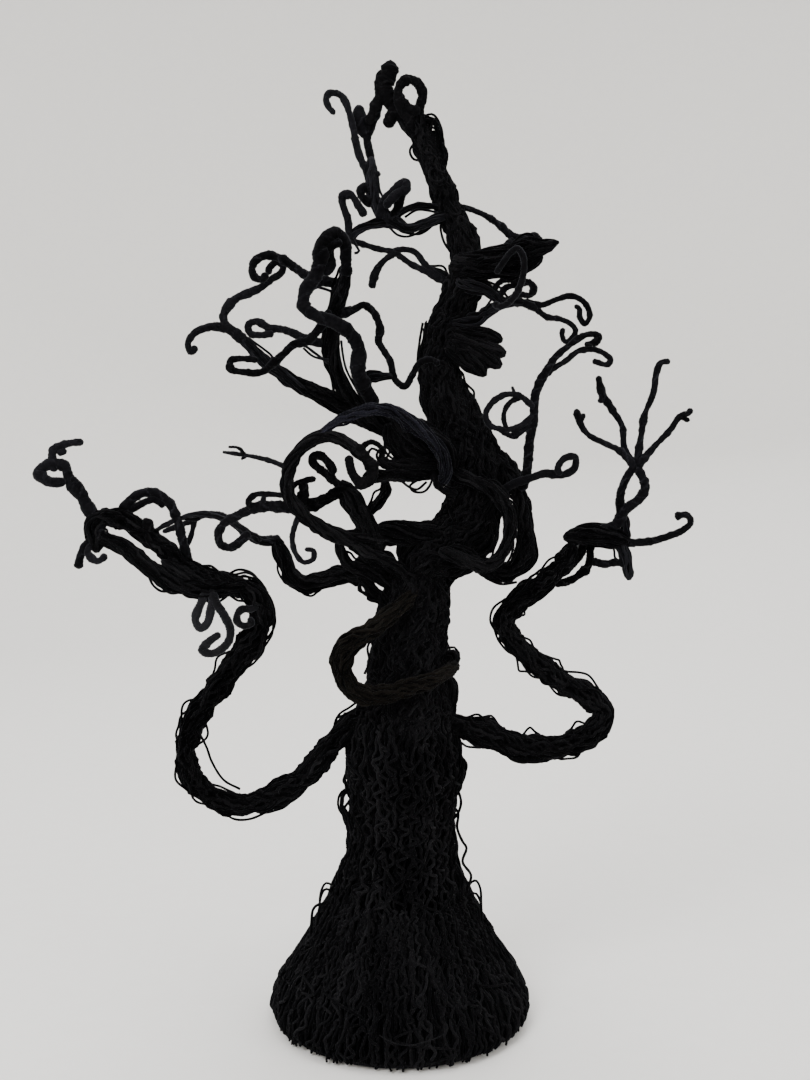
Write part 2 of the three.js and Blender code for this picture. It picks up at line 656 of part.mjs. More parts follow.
// ---- posable limbs ------------------------------------------------------------------------
// Each one starts a few millimetres clear of what it grows from, so that it can be bent.
addStrands(
  leftArm,
  "left_arm_yarn",
  YARN,
  bundle([[LEFT_ARM_PIVOT[0] - JOINT_GAP, -7, 194], ...LEFT_ARM],
    [6, 8, 8.4, 8, 7.8, 7.5, 7.5, 7.5, 7.5, 8, 8.4, 8, 7]),
  bundle(FOREARM_TOP, 6),
  bundle(FOREARM_LOW, 5.6),
  bundle([[-178, -34, 324], [-185, -34, 314], [-182, -35, 302]], [6, 8, 6]),
  strand([[-85, -29, 267], [-90.2, -35, 265.4], [-95, -35, 265.4], [-98, -35, 262.4], [-98.2, -35, 257.7],
    [-94.3, -35, 255.2], [-89.5, -35.5, 257]], 2)
);
addStrands(
  leftArm,
  "left_hand_tip",
  WRAP,
  strand([[-183, -34, 318], [-191, -34, 333], [-198, -33, 342], [-202, -32, 351.5], [-211, -32, 353],
    [-217, -32, 348],
    [-210, -35, 342.5], [-200, -38, 342.5]], [4, 3.4, 3.8, 3]),
  strand([[-208, -32, 350], [-208, -32, 361], [-199, -32, 365], [-191, -32, 366]], 2.2)
);
addStrands(
  leftArm,
  "left_hand_hook",
  WRAP,
  strand([[-182, -36, 312], [-189, -38, 305], [-193, -38, 291]], 2.4),
  strand([[-184, -38, 308], [-186, -42, 300], [-180, -43, 295], [-175, -41, 299]], 1.9)
);
addStrands(
  leftArm,
  "left_arch_twig",
  WRAP,
  strand([[-171, -31, 321], [-160, -27, 333.5], [-150, -25, 335.5], [-141, -25, 330], [-135, -27, 318],
    [-132, -29, 307], [-127, -31, 290]], 2.8)
);
addStrands(
  leftArm,
  "left_hanging_hooks",
  WRAP,
  strand([[-113, -36, 280], [-111, -42, 272], [-105, -44, 263], [-101, -45, 254], [-103, -45, 246],
    [-112, -45, 240],
    [-118, -45, 242], [-107, -45, 251]], [2.8, 2.4]),
  strand([[-116, -36, 280], [-118, -42, 272], [-122, -44, 260], [-119, -44, 255], [-115, -44, 258],
    [-112, -42, 270]], 2.4)
);
addStrands(
  rightArm,
  "right_arm_yarn",
  YARN,
  bundle([[RIGHT_ARM_PIVOT[0] + JOINT_GAP, -5, 187], ...RIGHT_ARM, [111, 20, 298]],
    [6, 9, 9, 8.5, 8, 8, 8, 8, 7.6, 7.6, 7.2, 7, 7, 7, 7]),
  bundle([[109, 20, 304], [126, 20, 306], [145, 20, 303]], [6, 7.4, 6.5]),
  strand([[91, 17, 278], [106, 20, 276], [115, 21, 280], [122, 21, 287], [123, 20, 300]], 2.6)
);
addStrands(
  rightArm,
  "right_hand_twigs",
  WRAP,
  strand([[126, 20, 306], [140, 20, 314], [145, 20, 323], [154, 20, 330], [158, 20, 338],
    [152, 20, 352]], [3.6, 3, 2.6]),
  strand([[143, 20, 317], [142, 20, 330], [145, 20, 342], [152, 20, 353]], 2.4),
  strand([[152, 20, 353], [141, 18, 361], [131, 17, 366], [121, 17, 371], [115, 17, 379],
    [113, 17, 387]], [2.8, 1.8, 2.2]),
  strand([[152, 20, 353], [145, 24, 363], [144, 27, 377], [137, 29, 389], [131, 30, 399],
    [128.5, 30, 410]], [2.8, 1.8, 2.4]),
  strand([[152, 20, 353], [155, 21, 370], [157, 20, 384], [162, 18, 398], [163.5, 16, 411],
    [170, 15, 418]], [2.8, 1.8, 2]),
  strand([[152, 20, 353], [163, 17, 364], [172, 14, 374], [178, 12, 383], [184, 11, 384]], [2.8, 1.8, 2])
);
addStrands(
  rightArm,
  "right_hand_hook",
  WRAP,
  strand([[140, 20, 303], [153, 20, 302], [163, 20, 303], [173, 19, 306], [182, 18, 310], [187, 17, 315],
    [183, 15, 320], [176, 14, 319]], [2.8, 2]),
  strand([[143, 20, 303], [147, 19, 291], [148, 19, 279]], [4.4, 3.6])
);
addStrands(
  outerBough,
  "outer_bough",
  WRAP,
  strand([[-67, -23, 404], [-81, -25, 414], [-89, -26, 422], [-96, -27, 429], [-104, -28, 434],
    [-111, -28, 435],
    [-117, -29, 434], [-123, -30, 431], [-127, -30, 425], [-125, -30, 420], [-122, -30, 424]],
    [4.4, 4, 3.8, 2.8, 2.1, 1.9], 6),
  strand([[-104, -28, 434], [-106, -27, 442], [-102, -26, 449], [-97, -25, 453], [-90, -24, 456],
    [-84, -23, 459],
    [-77.3, -22, 464.2], [-71.8, -22, 467.8], [-70.6, -22, 472], [-74.2, -23, 474], [-78.4, -24, 470.8]],
    [2.4, 1.9])
);
addStrands(
  rightTwig,
  "right_twig",
  WRAP,
  strand([[78.3, -15, 350], [79, -15, 360], [80, -15, 370], [82, -15, 380], [82.3, -15, 390],
    [83.2, -16, 397], [85.6, -17, 403], [89, -17, 409], [94.5, -17, 417.5], [103.6, -17, 425.2],
    [110.9, -17, 430.4], [117, -17, 431.8], [121.3, -17.5, 430], [119.5, -18, 427], [112.2, -18, 425.2]],
    [2.8, 2.7, 2.5, 2, 1.8, 1.8]),
  strand([[83.5, -14.5, 397], [87.5, -13, 405], [91, -13, 409], [95.5, -13, 412.2], [102.4, -13, 416.4],
    [108.5, -13, 421.5], [116.5, -13, 423], [123.8, -13, 421.2], [129, -13.5, 416.6], [127, -14, 413.6],
    [117.8, -14, 416]], [1.9, 1.7]),
  strand([[82, -17, 388], [73, -21, 394], [65, -22, 395], [57, -23, 391], [52, -23, 383], [55, -23, 376],
    [68, -20, 374], [81, -17, 382]], 1.8)
);

export default tree;
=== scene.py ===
"""Looks of the yarn tabletop tree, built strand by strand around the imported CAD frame.

Routes are in millimetres, in the frame's own axes, and repeat the limbs' routes in part.mjs.
"""
import json
import math

import bpy
import numpy as np
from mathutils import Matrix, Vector


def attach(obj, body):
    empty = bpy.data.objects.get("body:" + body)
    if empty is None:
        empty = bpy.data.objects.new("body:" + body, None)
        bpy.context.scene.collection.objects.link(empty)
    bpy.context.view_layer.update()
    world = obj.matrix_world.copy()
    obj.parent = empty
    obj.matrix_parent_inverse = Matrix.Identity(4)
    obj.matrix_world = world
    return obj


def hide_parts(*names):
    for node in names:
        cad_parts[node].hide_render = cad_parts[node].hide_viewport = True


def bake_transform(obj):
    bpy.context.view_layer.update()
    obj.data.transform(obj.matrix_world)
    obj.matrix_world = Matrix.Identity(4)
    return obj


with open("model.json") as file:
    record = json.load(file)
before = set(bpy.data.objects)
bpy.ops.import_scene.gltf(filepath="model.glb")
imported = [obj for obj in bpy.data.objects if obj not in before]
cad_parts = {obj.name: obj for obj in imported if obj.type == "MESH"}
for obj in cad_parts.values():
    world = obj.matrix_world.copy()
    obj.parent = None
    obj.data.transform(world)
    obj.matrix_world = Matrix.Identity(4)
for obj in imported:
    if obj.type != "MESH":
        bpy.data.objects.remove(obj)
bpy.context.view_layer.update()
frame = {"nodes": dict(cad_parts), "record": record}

MM = 0.001
YARN = 0.95  # radius of one strand of yarn
STRAND_STEP = 2.4  # distance between the rings of a strand
STRAND_SIDES = 5
WRAP_PITCH = 1.7  # distance between the turns of yarn round a twig
WRAP_STEP = 0.6
WRAP_SIDES = 10
FIBRE = 0.05  # radius of one loose fibre
LEAST_RADIUS = 3  # strands sway on a thin limb no more than on one of this radius
LEAST_PROFILE_RADIUS = 20  # the same for the trunk and the skirt
SEED = 11

BODY_OF = {n: b for b, ns in frame["record"]["behaviour"]["bodies"].items() for n in ns}


# ---- curves -------------------------------------------------------------------------------
def unit(v):
    return v / np.maximum(np.linalg.norm(v, axis=-1, keepdims=True), 1e-9)


def smooth_path(points, step):
    """Even samples along a smooth curve through the points, and their distances from its start."""
    p = np.array(points, float)
    p = np.vstack([2 * p[0] - p[1], p, 2 * p[-1] - p[-2]])
    pieces = []
    for a, b, c, d in zip(p[:-3], p[1:-2], p[2:-1], p[3:]):
        knots = np.cumsum([0] + [math.sqrt(np.linalg.norm(v)) for v in (b - a, c - b, d - c)])
        t = np.linspace(knots[1], knots[2], 20, endpoint=False)[:, None]
        mix = lambda u, v, i, j: ((knots[j] - t) * u + (t - knots[i]) * v) / (knots[j] - knots[i])
        ab, bc, cd = mix(a, b, 0, 1), mix(b, c, 1, 2), mix(c, d, 2, 3)
        pieces.append(mix(mix(ab, bc, 0, 2), mix(bc, cd, 1, 3), 1, 2))
    fine = np.vstack(pieces + [p[-2:-1]])
    run = np.concatenate([[0], np.cumsum(np.linalg.norm(np.diff(fine, axis=0), axis=1))])
    count = max(4, round(run[-1] / step) + 1)
    s = np.linspace(0, run[-1], count)
    return np.stack([np.interp(s, run, fine[:, k]) for k in range(3)], axis=1), s


def frames_along(path):
    """A normal and a binormal at each sample, turning as little as possible along the path."""
    tangents = unit(np.gradient(path, axis=0))
    least = np.eye(3)[np.argmin(np.abs(tangents[0]))]
    normals = [unit(np.cross(np.cross(tangents[0], least), tangents[0]))]
    for t in tangents[1:]:
        v = normals[-1] - t * (normals[-1] @ t)
        normals.append(unit(v))
    normals = np.array(normals)
    return normals, np.cross(tangents, normals)


def along(stops, s):
    """A value that runs evenly through a list of stops from the first sample to the last."""
    stops = np.atleast_1d(stops)
    return np.interp(s / s[-1], np.linspace(0, 1, len(stops)), stops)


def wander(rng, count, s, wavelength):
    """Smooth random values, about -1 to 1, for count strands at the distances s."""
    total = np.zeros((count, len(s)))
    for share, scale in ((0.55, 1.0), (0.35, 0.55), (0.25, 0.3)):
        phase = rng.uniform(0, 2 * math.pi, (count, 1))
        wave = wavelength * scale * rng.uniform(0.8, 1.25, (count, 1))
        total += share * np.sin(2 * math.pi * s[None, :] / wave + phase)
    return total


# ---- meshes -------------------------------------------------------------------------------
class Skein:
    """Collects closed tubes in millimetres and makes one mesh of them."""

    def __init__(self, seed):
        self.rng = np.random.default_rng(seed)
        self.points, self.quads, self.tris = [], [], []
        self.quad_uvs, self.tri_uvs, self.tones_and_shades = [], [], []
        self.total = 0

    def tubes(self, lines, normals, radii, sides, tones_and_shades):
        """Adds closed tubes along lines (count, samples, 3), whose radii may differ by side."""
        count, samples = lines.shape[:2]
        tangents = unit(np.gradient(lines, axis=1))
        normals = unit(normals - tangents * np.sum(normals * tangents, axis=2, keepdims=True))
        binormals = np.cross(tangents, normals)
        angle = 2 * math.pi * np.arange(sides) / sides
        if radii.ndim == 2:
            radii = radii[:, :, None]
        across = radii * np.cos(angle)
        up = radii * np.sin(angle)
        rings = lines[:, :, None] + across[..., None] * normals[:, :, None] + up[...,
            None] * binormals[:, :, None]
        body = count * samples * sides
        i, k, j = np.meshgrid(range(samples - 1), range(count), range(sides))
        at = lambda ring, side: self.total + (k * samples + ring) * sides + side % sides
        self.quads.append(np.stack([at(i, j), at(i, j + 1), at(i + 1, j + 1), at(i + 1, j)],
            -1).reshape(-1, 4))
        run = np.cumsum(np.linalg.norm(np.diff(lines, axis=1, prepend=lines[:, :1]), axis=2), axis=1)
        u0, u1 = run[k, i] / 10, run[k, i + 1] / 10
        v0, v1 = j / sides, (j + 1) / sides
        self.quad_uvs.append(np.stack([u0, v0, u0, v1, u1, v1, u1, v0], -1).reshape(-1, 8))
        k, j = np.meshgrid(range(count), range(sides))
        start = self.total + body + k
        end = self.total + body + count + k
        first = lambda side: self.total + k * samples * sides + side % sides
        last = lambda side: self.total + (k * samples + samples - 1) * sides + side % sides
        caps = [np.stack([first(j + 1), first(j), start], -1), np.stack([last(j), last(j + 1), end], -1)]
        caps = np.concatenate([c.reshape(-1, 3) for c in caps])
        self.tris.append(caps)
        self.tri_uvs.append(np.zeros((len(caps), 6)))
        self.points += [rings.reshape(-1, 3), lines[:, 0], lines[:, -1]]
        self.tones_and_shades.append(np.concatenate([np.repeat(tones_and_shades, samples * sides), tones_and_shades, tones_and_shades]))
        self.total += body + 2 * count

    def revolve(self, outline, segments, tone_and_shade):
        """Adds a ring-shaped solid from a closed outline of [radius, height] points."""
        outline = np.array(outline, float)
        angle = 2 * math.pi * np.arange(segments) / segments
        ring = np.stack([np.cos(angle), np.sin(angle)], -1)
        points = np.concatenate(
            [outline[:, None, :1] * ring, np.broadcast_to(outline[:, None, 1:],
                (len(outline), segments, 1))], -1
        )
        i, j = np.meshgrid(range(len(outline)), range(segments))
        at = lambda row, col: self.total + (row % len(outline)) * segments + col % segments
        quads = np.stack([at(i, j), at(i, j + 1), at(i + 1, j + 1), at(i + 1, j)], -1).reshape(-1, 4)
        self.quads.append(quads)
        self.quad_uvs.append(np.zeros((len(quads), 8)))
        self.points.append(points.reshape(-1, 3))
        self.tones_and_shades.append(np.full(len(outline) * segments, tone_and_shade))
        self.total += len(outline) * segments

    def mesh(self, name):
        points = np.concatenate(self.points) * MM
        quads = np.concatenate(self.quads)
        tris = np.concatenate(self.tris) if self.tris else np.zeros((0, 3), int)
        loops = np.concatenate([quads.ravel(), tris.ravel()])
        starts = np.concatenate([np.arange(len(quads)) * 4, len(quads) * 4 + np.arange(len(tris)) * 3])
        tri_uvs = [t.ravel() for t in self.tri_uvs]
        uvs = np.concatenate([np.concatenate(self.quad_uvs).ravel(), *tri_uvs])
        data = bpy.data.meshes.new(name)
        data.vertices.add(len(points))
        data.vertices.foreach_set("co", points.ravel())
        data.loops.add(len(loops))
        data.loops.foreach_set("vertex_index", loops.astype(np.int32))
        data.polygons.add(len(starts))
        data.polygons.foreach_set("loop_start", starts.astype(np.int32))
        data.update(calc_edges=True)
        data.uv_layers.new(name="strand").data.foreach_set("uv", uvs.astype(np.float32))
        tone_and_shade = data.attributes.new("tone_and_shade", "FLOAT", "POINT")
        tone_and_shade.data.foreach_set("value", np.concatenate(self.tones_and_shades).astype(np.float32))
        data.shade_smooth()
        return data


# ---- kinds of limb ------------------------------------------------------------------------
def lay_strands(skein, path, s, normals, binormals, radius, angles, depth, tone_and_shade=(0, 1)):
    """Strands laid on a limb at the given angles, each depth inside its outer radius."""
    count = len(angles)
    out = np.cos(angles)[..., None] * normals + np.sin(angles)[..., None] * binormals
    lines = path[None] + (radius[None] - YARN - depth)[..., None] * out
    radii = YARN * skein.rng.uniform(0.82, 1.12,
        (count, 1)) * (1 + 0.06 * wander(skein.rng, count, s, 12))
    skein.tubes(lines, out, radii, STRAND_SIDES, skein.rng.uniform(*tone_and_shade, count))


def on_limb(path, s, normals, binormals, radius, at, angle, proud):
    """Lines over a limb's surface from distances along it, angles round it and heights above it."""
    where = lambda rows: np.stack([np.interp(at, s, rows[:, c]) for c in range(3)], -1)
    out = np.cos(angle)[..., None] * where(normals) + np.sin(angle)[..., None] * where(binormals)
    return where(path) + (np.interp(at, s, radius) + proud)[..., None] * out, out


def curls(skein, path, s, normals, binormals, radius, count, size, facing=None, within=(0, 1)):
    """Crimped strands that lie on a limb in open rings."""
    rng = skein.rng
    turn = np.linspace(0, 1, 16)
    start = rng.uniform(0, 2 * math.pi, (count, 1))
    phase = start + rng.choice([-1, 1], (count, 1)) * rng.uniform(3.4, 5.6, (count, 1)) * turn
    ring = rng.uniform(*size, (count, 1)) * (0.75 + 0.5 * turn)
    at = rng.uniform(*within, (count, 1)) * s[-1] + 1.25 * ring * np.sin(phase)
    at = np.clip(at, 0.5, s[-1] - 0.5)
    middle = rng.uniform(0, 2 * math.pi, (count, 1)) if facing is None else facing(rng, count)
    angle = middle + ring * np.cos(phase) / np.interp(at, s, radius)
    proud = -0.9 + 1.2 * np.sin(math.pi * turn) + rng.uniform(-0.2, 0.5, (count, 1))
    lines, out = on_limb(path, s, normals, binormals, radius, at, angle, proud)
    skein.tubes(lines, out, np.full(at.shape, YARN * 0.85), STRAND_SIDES, rng.uniform(0.3, 1, count))


def hairpins(skein, path, s, normals, binormals, radius, count, top, foot, width):
    """Strands that hang down a limb and turn back up in a narrow loop."""
    rng = skein.rng
    samples = 46
    t = np.linspace(-1, 1, samples)
    high, low = rng.uniform(*top, (count, 1)), rng.uniform(*foot, (count, 1))
    at = low + (high - low) * (np.sqrt(t * t + 0.02) - 0.14) / 0.87
    half = rng.uniform(*width, (count, 1))
    middle = 2 * math.pi * (np.arange(count)[:, None] + rng.uniform(-0.4, 0.4, (count, 1))) / count
    around = half * np.tanh(5 * t) + 1.6 * wander(rng, count, high[0, 0] * t, 17)
    angle = middle + around / np.interp(at, s, radius)
    proud = rng.uniform(-0.6, 0.9, (count, 1)) + 0.4 * wander(rng, count, 40 * t, 15)
    lines, out = on_limb(path, s, normals, binormals, radius, at, angle, proud)
    skein.tubes(lines, out, np.full(at.shape, YARN * 0.9), STRAND_SIDES, rng.uniform(0.3, 1, count))


def crimp(rng, count, s, depth):
    """The short regular kinks that knitting leaves in a strand."""
    wave = rng.uniform(8.5, 13, (count, 1))
    swell = 0.6 + 0.4 * np.sin(2 * math.pi * s[None] / (4.3 * wave) + rng.uniform(0, 6, (count, 1)))
    return depth * swell * np.sin(2 * math.pi * s[None] / wave + rng.uniform(0, 6, (count, 1)))


def stray_loops(skein, path, s, normals, binormals, radius, count, rise, span, facing=None):
    """Strands that leave the limb, stand off it in an arch and return to it."""
    rng = skein.rng
    samples = 18
    t = np.linspace(0, 1, samples)
    spans = np.minimum(rng.uniform(*span, count), s[-1] * 0.8)
    start = rng.uniform(0, 1, count) * (s[-1] - spans)
    at = start[:, None] + spans[:, None] * t
    where = lambda rows: np.stack([np.interp(at, s, rows[:, c]) for c in range(3)], -1)
    angle = rng.uniform(0, 2 * math.pi, (count, 1)) if facing is None else facing(rng, count)
    angle = angle + rng.uniform(-0.35, 0.35, (count, 1)) * np.sin(2 * math.pi * t)
    out = np.cos(angle)[..., None] * where(normals) + np.sin(angle)[..., None] * where(binormals)
    height = rng.uniform(*rise, (count, 1)) * np.sin(math.pi * t) ** 0.7
    height = height * (1 + 0.25 * np.sin(2 * math.pi * t + rng.uniform(0, 6, (count, 1))))
    reach = np.interp(at, s, radius) - 1.6 * YARN + height
    lines = where(path) + reach[..., None] * out
    skein.tubes(lines, out, np.full((count, samples), YARN * 0.85), STRAND_SIDES,
                rng.uniform(0, 0.6, count))


def round_ends(s, radius, floor):
    """A factor that rounds a limb off at both of its ends."""
    inset = np.clip(np.minimum(s, s[-1] - s) / radius, 0, 1)
    return np.sqrt(np.maximum(1 - (1 - inset) ** 2, floor * floor))


def bundle(points, radii, twist=0.004, wave=1.2, lump=0.08, loops=None, layers=1, tone_and_shade=(0, 1),
           rise=(1.2, 3.4), slack=0.6, kinks=0.35, rings=0):
    """A limb of many strands laid side by side over a core, with some strands standing off it."""

    def build(skein):
        rng = skein.rng
        path, s = smooth_path(points, STRAND_STEP)
        normals, binormals = frames_along(path)
        radius = along(radii, s)
        radius = radius * (1 + lump * wander(rng, 1, s, 30)[0]) * round_ends(s, radius, 0.45)
        core = np.maximum(radius - 1.5 * YARN, 0.5)
        # The core gets the darkest value: painted shade in the gaps between the strands.
        skein.tubes(path[None], normals[None], core[None], 12, np.array([0.0]))
        count = max(5, round(2 * math.pi * np.mean(radius - YARN) / (1.8 * YARN)))
        for layer in range(layers):
            base = 2 * math.pi * (np.arange(count)[:, None] + rng.uniform(-0.3, 0.3, (count, 1))) / count
            sway = wave * wander(rng, count, s, 24) + crimp(rng, count, s, kinks)
            angles = base + twist * 2 * math.pi * s[None] + sway / np.maximum(radius, LEAST_RADIUS)
            depth = slack * (wander(rng, count, s, 20) + 0.5) - 0.6 * layer
            # Lower layers get darker values than the top layer: painted shade under the top strands.
            shades = tone_and_shade if layer == layers - 1 else (0, 0.35)
            lay_strands(skein, path, s, normals, binormals, radius, angles, depth, shades)
        number = round(s[-1] / 12) if loops is None else loops
        if number:
            stray_loops(skein, path, s, normals, binormals, radius, number, rise, (12, 28))
        if rings:
            front = lambda rng, count: math.pi + rng.uniform(-1.3, 1.3, (count, 1))
            curls(skein, path, s, normals, binormals, radius, rings, (2.2, 4.4), front)

    return build


def wound(points, radii, lump=0.09, fibres=1.0, plies=2):
    """A twig: wire wound with yarn, lumpy and round ended, with slack turns and loose fibres."""

    def build(skein):
        rng = skein.rng
        path, s = smooth_path(points, WRAP_STEP)
        normals, binormals = frames_along(path)
        radius = along(radii, s)
        rounding = round_ends(s, radius, 0.2)
        radius = radius * (1 + lump * wander(rng, 1, s, 16)[0] + 0.05 * wander(rng, 1, s, 5)[0])
        for _ in range(round(s[-1] / 26) + 1):
            knot = rng.uniform(0, s[-1])
            radius = radius * (1 + rng.uniform(0.1,
                0.28) * np.exp(-(((s - knot) / rng.uniform(1.4, 2.6)) ** 2)))
        side = np.arange(WRAP_SIDES) / WRAP_SIDES
        turns = s / (WRAP_PITCH * rng.uniform(0.9, 1.15)) + 0.3 * wander(rng, 1, s, 17)[0]
        ridge = np.abs(np.cos(math.pi * (turns[:, None] - side)))
        rings = radius[:, None] * rounding[:, None] + 0.3 * (ridge - 0.62)
        skein.tubes(path[None], normals[None], rings[None], WRAP_SIDES, rng.uniform(0, 0.6, 1))
        if plies:
            slack_turns(skein, path, s, normals, binormals, radius * rounding, plies)
        count = round(fibres * s[-1] * 0.8)
        where = rng.integers(0, len(s), count)
        angle = rng.uniform(0, 2 * math.pi, count)
        out = np.cos(angle)[:, None] * normals[where] + np.sin(angle)[:, None] * binormals[where]
        loose_fibres(skein, path[where] + out * (radius * rounding)[where, None], out)

    return build


def slack_turns(skein, path, s, normals, binormals, radius, count):
    """A few strands that wind slowly round a twig over its even turns."""
    rng = skein.rng
    keep = slice(1, -1, 2)
    s, path, normals, binormals, radius = s[keep], path[keep], normals[keep], binormals[keep], radius[keep]
    start = 2 * math.pi * (np.arange(count)[:, None] + rng.uniform(-0.2, 0.2, (count, 1))) / count
    angle = start + 2 * math.pi * s[None] / rng.uniform(13, 22) + 0.5 * wander(rng, count, s, 18)
    out = np.cos(angle)[..., None] * normals + np.sin(angle)[..., None] * binormals
    reach = radius - 0.26 * np.minimum(radius, 2.6) + 0.1 * wander(rng, count, s, 12)
    thick = 0.4 * np.minimum(radius, 2.6) * np.ones((count, 1))
    skein.tubes(path[None] + reach[..., None] * out, out, thick, STRAND_SIDES,
                rng.uniform(0.2, 1, count))


def loose_fibres(skein, roots, out):
    """Short fine fibres that stand off the yarn at their roots."""
    rng = skein.rng
    count = len(roots)
    t = np.linspace(0, 1, 4)[None, :, None]
    lean = unit(out + rng.normal(0, 0.7, (count, 3)))
    curl = rng.normal(0, 0.5, (count, 3))
    length = rng.uniform(0.5, 1.7, (count, 1, 1))
    lines = roots[:, None] - 0.3 * out[:, None] + length * (lean[:, None] * t + curl[:, None] * t * t)
    across = np.broadcast_to(unit(np.cross(lean, curl + 1e-3))[:, None], lines.shape)
    radii = np.broadcast_to(FIBRE * np.array([1.2, 1, 0.7, 0.25]), lines.shape[:2])
    skein.tubes(lines, across, radii, 3, np.full(count, 0.9))


def thread(points, radius=0.35, sides=6, step=1.5, tone_and_shade=0.8):
    """One plain thread or a single loose strand."""

    def build(skein):
        path, s = smooth_path(points, step)
        normals, _ = frames_along(path)
        radii = radius * (1 + 0.08 * wander(skein.rng, 1, s, 9))
        skein.tubes(path[None], normals[None], radii, sides, np.array([tone_and_shade]))

    return build


def loose(points, radius=0.85):
    """A single strand of yarn that stands off the tree."""
    return thread(points, radius, STRAND_SIDES, 1.8, 0.4)


# ---- materials ----------------------------------------------------------------------------
NOISE_ROUGHNESS = 0.6


def new_material(name):
    material = bpy.data.materials.new(name)
    material.use_nodes = True
    tree = material.node_tree
    return material, tree, tree.nodes["Principled BSDF"]


def link(tree, start, end):
    tree.links.new(start, end)
    return end.node


def math_node(tree, operation, *values):
    node = tree.nodes.new("ShaderNodeMath")
    node.operation = operation
    for socket, value in zip(node.inputs, values):
        if isinstance(value, bpy.types.NodeSocket):
            tree.links.new(value, socket)
        else:
            socket.default_value = value
    return node.outputs[0]


def noise(tree, scale, detail=4):
    """Noise in the piece's own coordinates; scale is in lumps per metre."""
    place = tree.nodes.new("ShaderNodeTexCoord")
    node = tree.nodes.new("ShaderNodeTexNoise")
    node.inputs["Scale"].default_value = scale
    node.inputs["Detail"].default_value = detail
    node.inputs["Roughness"].default_value = NOISE_ROUGHNESS
    tree.links.new(place.outputs["Object"], node.inputs["Vector"])
    return node.outputs[0]


def ramp(tree, value, *stops):
    """A colour that runs through (place, (r, g, b)) stops."""
    node = tree.nodes.new("ShaderNodeValToRGB")
    elements = node.color_ramp.elements
    while len(elements) < len(stops):
        elements.new(0.5)
    for element, (place, colour) in zip(elements, stops):
        element.position = place
        element.color = (*colour, 1)
    tree.links.new(value, node.inputs["Fac"])
    return node.outputs["Color"]


def bump(tree, shader, height, distance, strength=1.0):
    node = tree.nodes.new("ShaderNodeBump")
    node.inputs["Strength"].default_value = strength
    node.inputs["Distance"].default_value = distance
    tree.links.new(height, node.inputs["Height"])
    tree.links.new(node.outputs["Normal"], shader.inputs["Normal"])


def ranged(tree, value, low, high):
    node = tree.nodes.new("ShaderNodeMapRange")
    node.inputs["To Min"].default_value = low
    node.inputs["To Max"].default_value = high
    tree.links.new(value, node.inputs["Value"])
    return node.outputs["Result"]


def yarn_material(name, dark, light, sheen, plies=3.0, twist=1.6, gloss=0.02):
    """Matte yarn: each strand its own shade, mottled, with twisted plies and fine fibres. The per-strand
    value mixes random tone with painted shade: cores and lower layers darker, top strands lighter.
    """
    material, tree, shader = new_material(name)
    tone_and_shade = tree.nodes.new("ShaderNodeAttribute")
    tone_and_shade.attribute_name = "tone_and_shade"
    mottle = noise(tree, 420)
    shade = math_node(tree, "MULTIPLY_ADD", mottle, 0.7,
                      math_node(tree, "MULTIPLY", tone_and_shade.outputs["Fac"], 0.65))
    shade = math_node(tree, "SUBTRACT", shade, 0.18)
    patches = ranged(tree, noise(tree, 26, 2), -0.35, 0.35)
    shade = math_node(tree, "ADD", shade, patches)
    middle = tuple((a + b) / 2.6 for a, b in zip(dark, light))
    link(tree, ramp(tree, shade, (0.1, dark), (0.55, middle), (1.0, light)), shader.inputs["Base Color"])
    where = tree.nodes.new("ShaderNodeTexCoord")
    parts = tree.nodes.new("ShaderNodeSeparateXYZ")
    tree.links.new(where.outputs["UV"], parts.inputs[0])
    turns = math_node(tree, "MULTIPLY_ADD", parts.outputs["X"], twist * plies,
                      math_node(tree, "MULTIPLY", parts.outputs["Y"], plies))
    groove = math_node(tree, "ABSOLUTE", math_node(tree, "SINE",
        math_node(tree, "MULTIPLY", turns, math.pi)))
    height = math_node(tree, "MULTIPLY_ADD", noise(tree, 2600, 3), 0.5, groove)
    bump(tree, shader, height, 0.22 * MM, 0.9)
    link(tree, ranged(tree, mottle, 0.82, 1.0), shader.inputs["Roughness"])
    shader.inputs["Specular IOR Level"].default_value = gloss
    shader.inputs["Sheen Weight"].default_value = sheen
    shader.inputs["Sheen Roughness"].default_value = 0.45
    shader.inputs["Sheen Tint"].default_value = (0.85, 0.88, 1.0, 1)
    return material


def grain_material(name, dark, light, scale, stretch, roughness, depth):
    """Wood, board or plaster: mottled along a grain, with a fine uneven surface."""
    material, tree, shader = new_material(name)
    place = tree.nodes.new("ShaderNodeTexCoord")
    shape = tree.nodes.new("ShaderNodeMapping")
    shape.inputs["Scale"].default_value = stretch
    tree.links.new(place.outputs["Object"], shape.inputs["Vector"])
    grain = tree.nodes.new("ShaderNodeTexNoise")
    grain.inputs["Scale"].default_value = scale
    grain.inputs["Detail"].default_value = 6
    tree.links.new(shape.outputs[0], grain.inputs["Vector"])
    link(tree, ramp(tree, grain.outputs[0], (0.3, dark), (0.7, light)), shader.inputs["Base Color"])
    link(tree, ranged(tree, grain.outputs[0], roughness - 0.12, roughness + 0.1),
         shader.inputs["Roughness"])
    bump(tree, shader, grain.outputs[0], depth)
    return material


def steel_material(name):
    material, tree, shader = new_material(name)
    grain = noise(tree, 900)
    link(tree, ramp(tree, grain, (0.3, (0.32, 0.33, 0.35)), (0.7, (0.55, 0.56, 0.58))),
         shader.inputs["Base Color"])
    link(tree, ranged(tree, grain, 0.3, 0.5), shader.inputs["Roughness"])
    bump(tree, shader, grain, 0.03 * MM)
    shader.inputs["Metallic"].default_value = 1
    return material


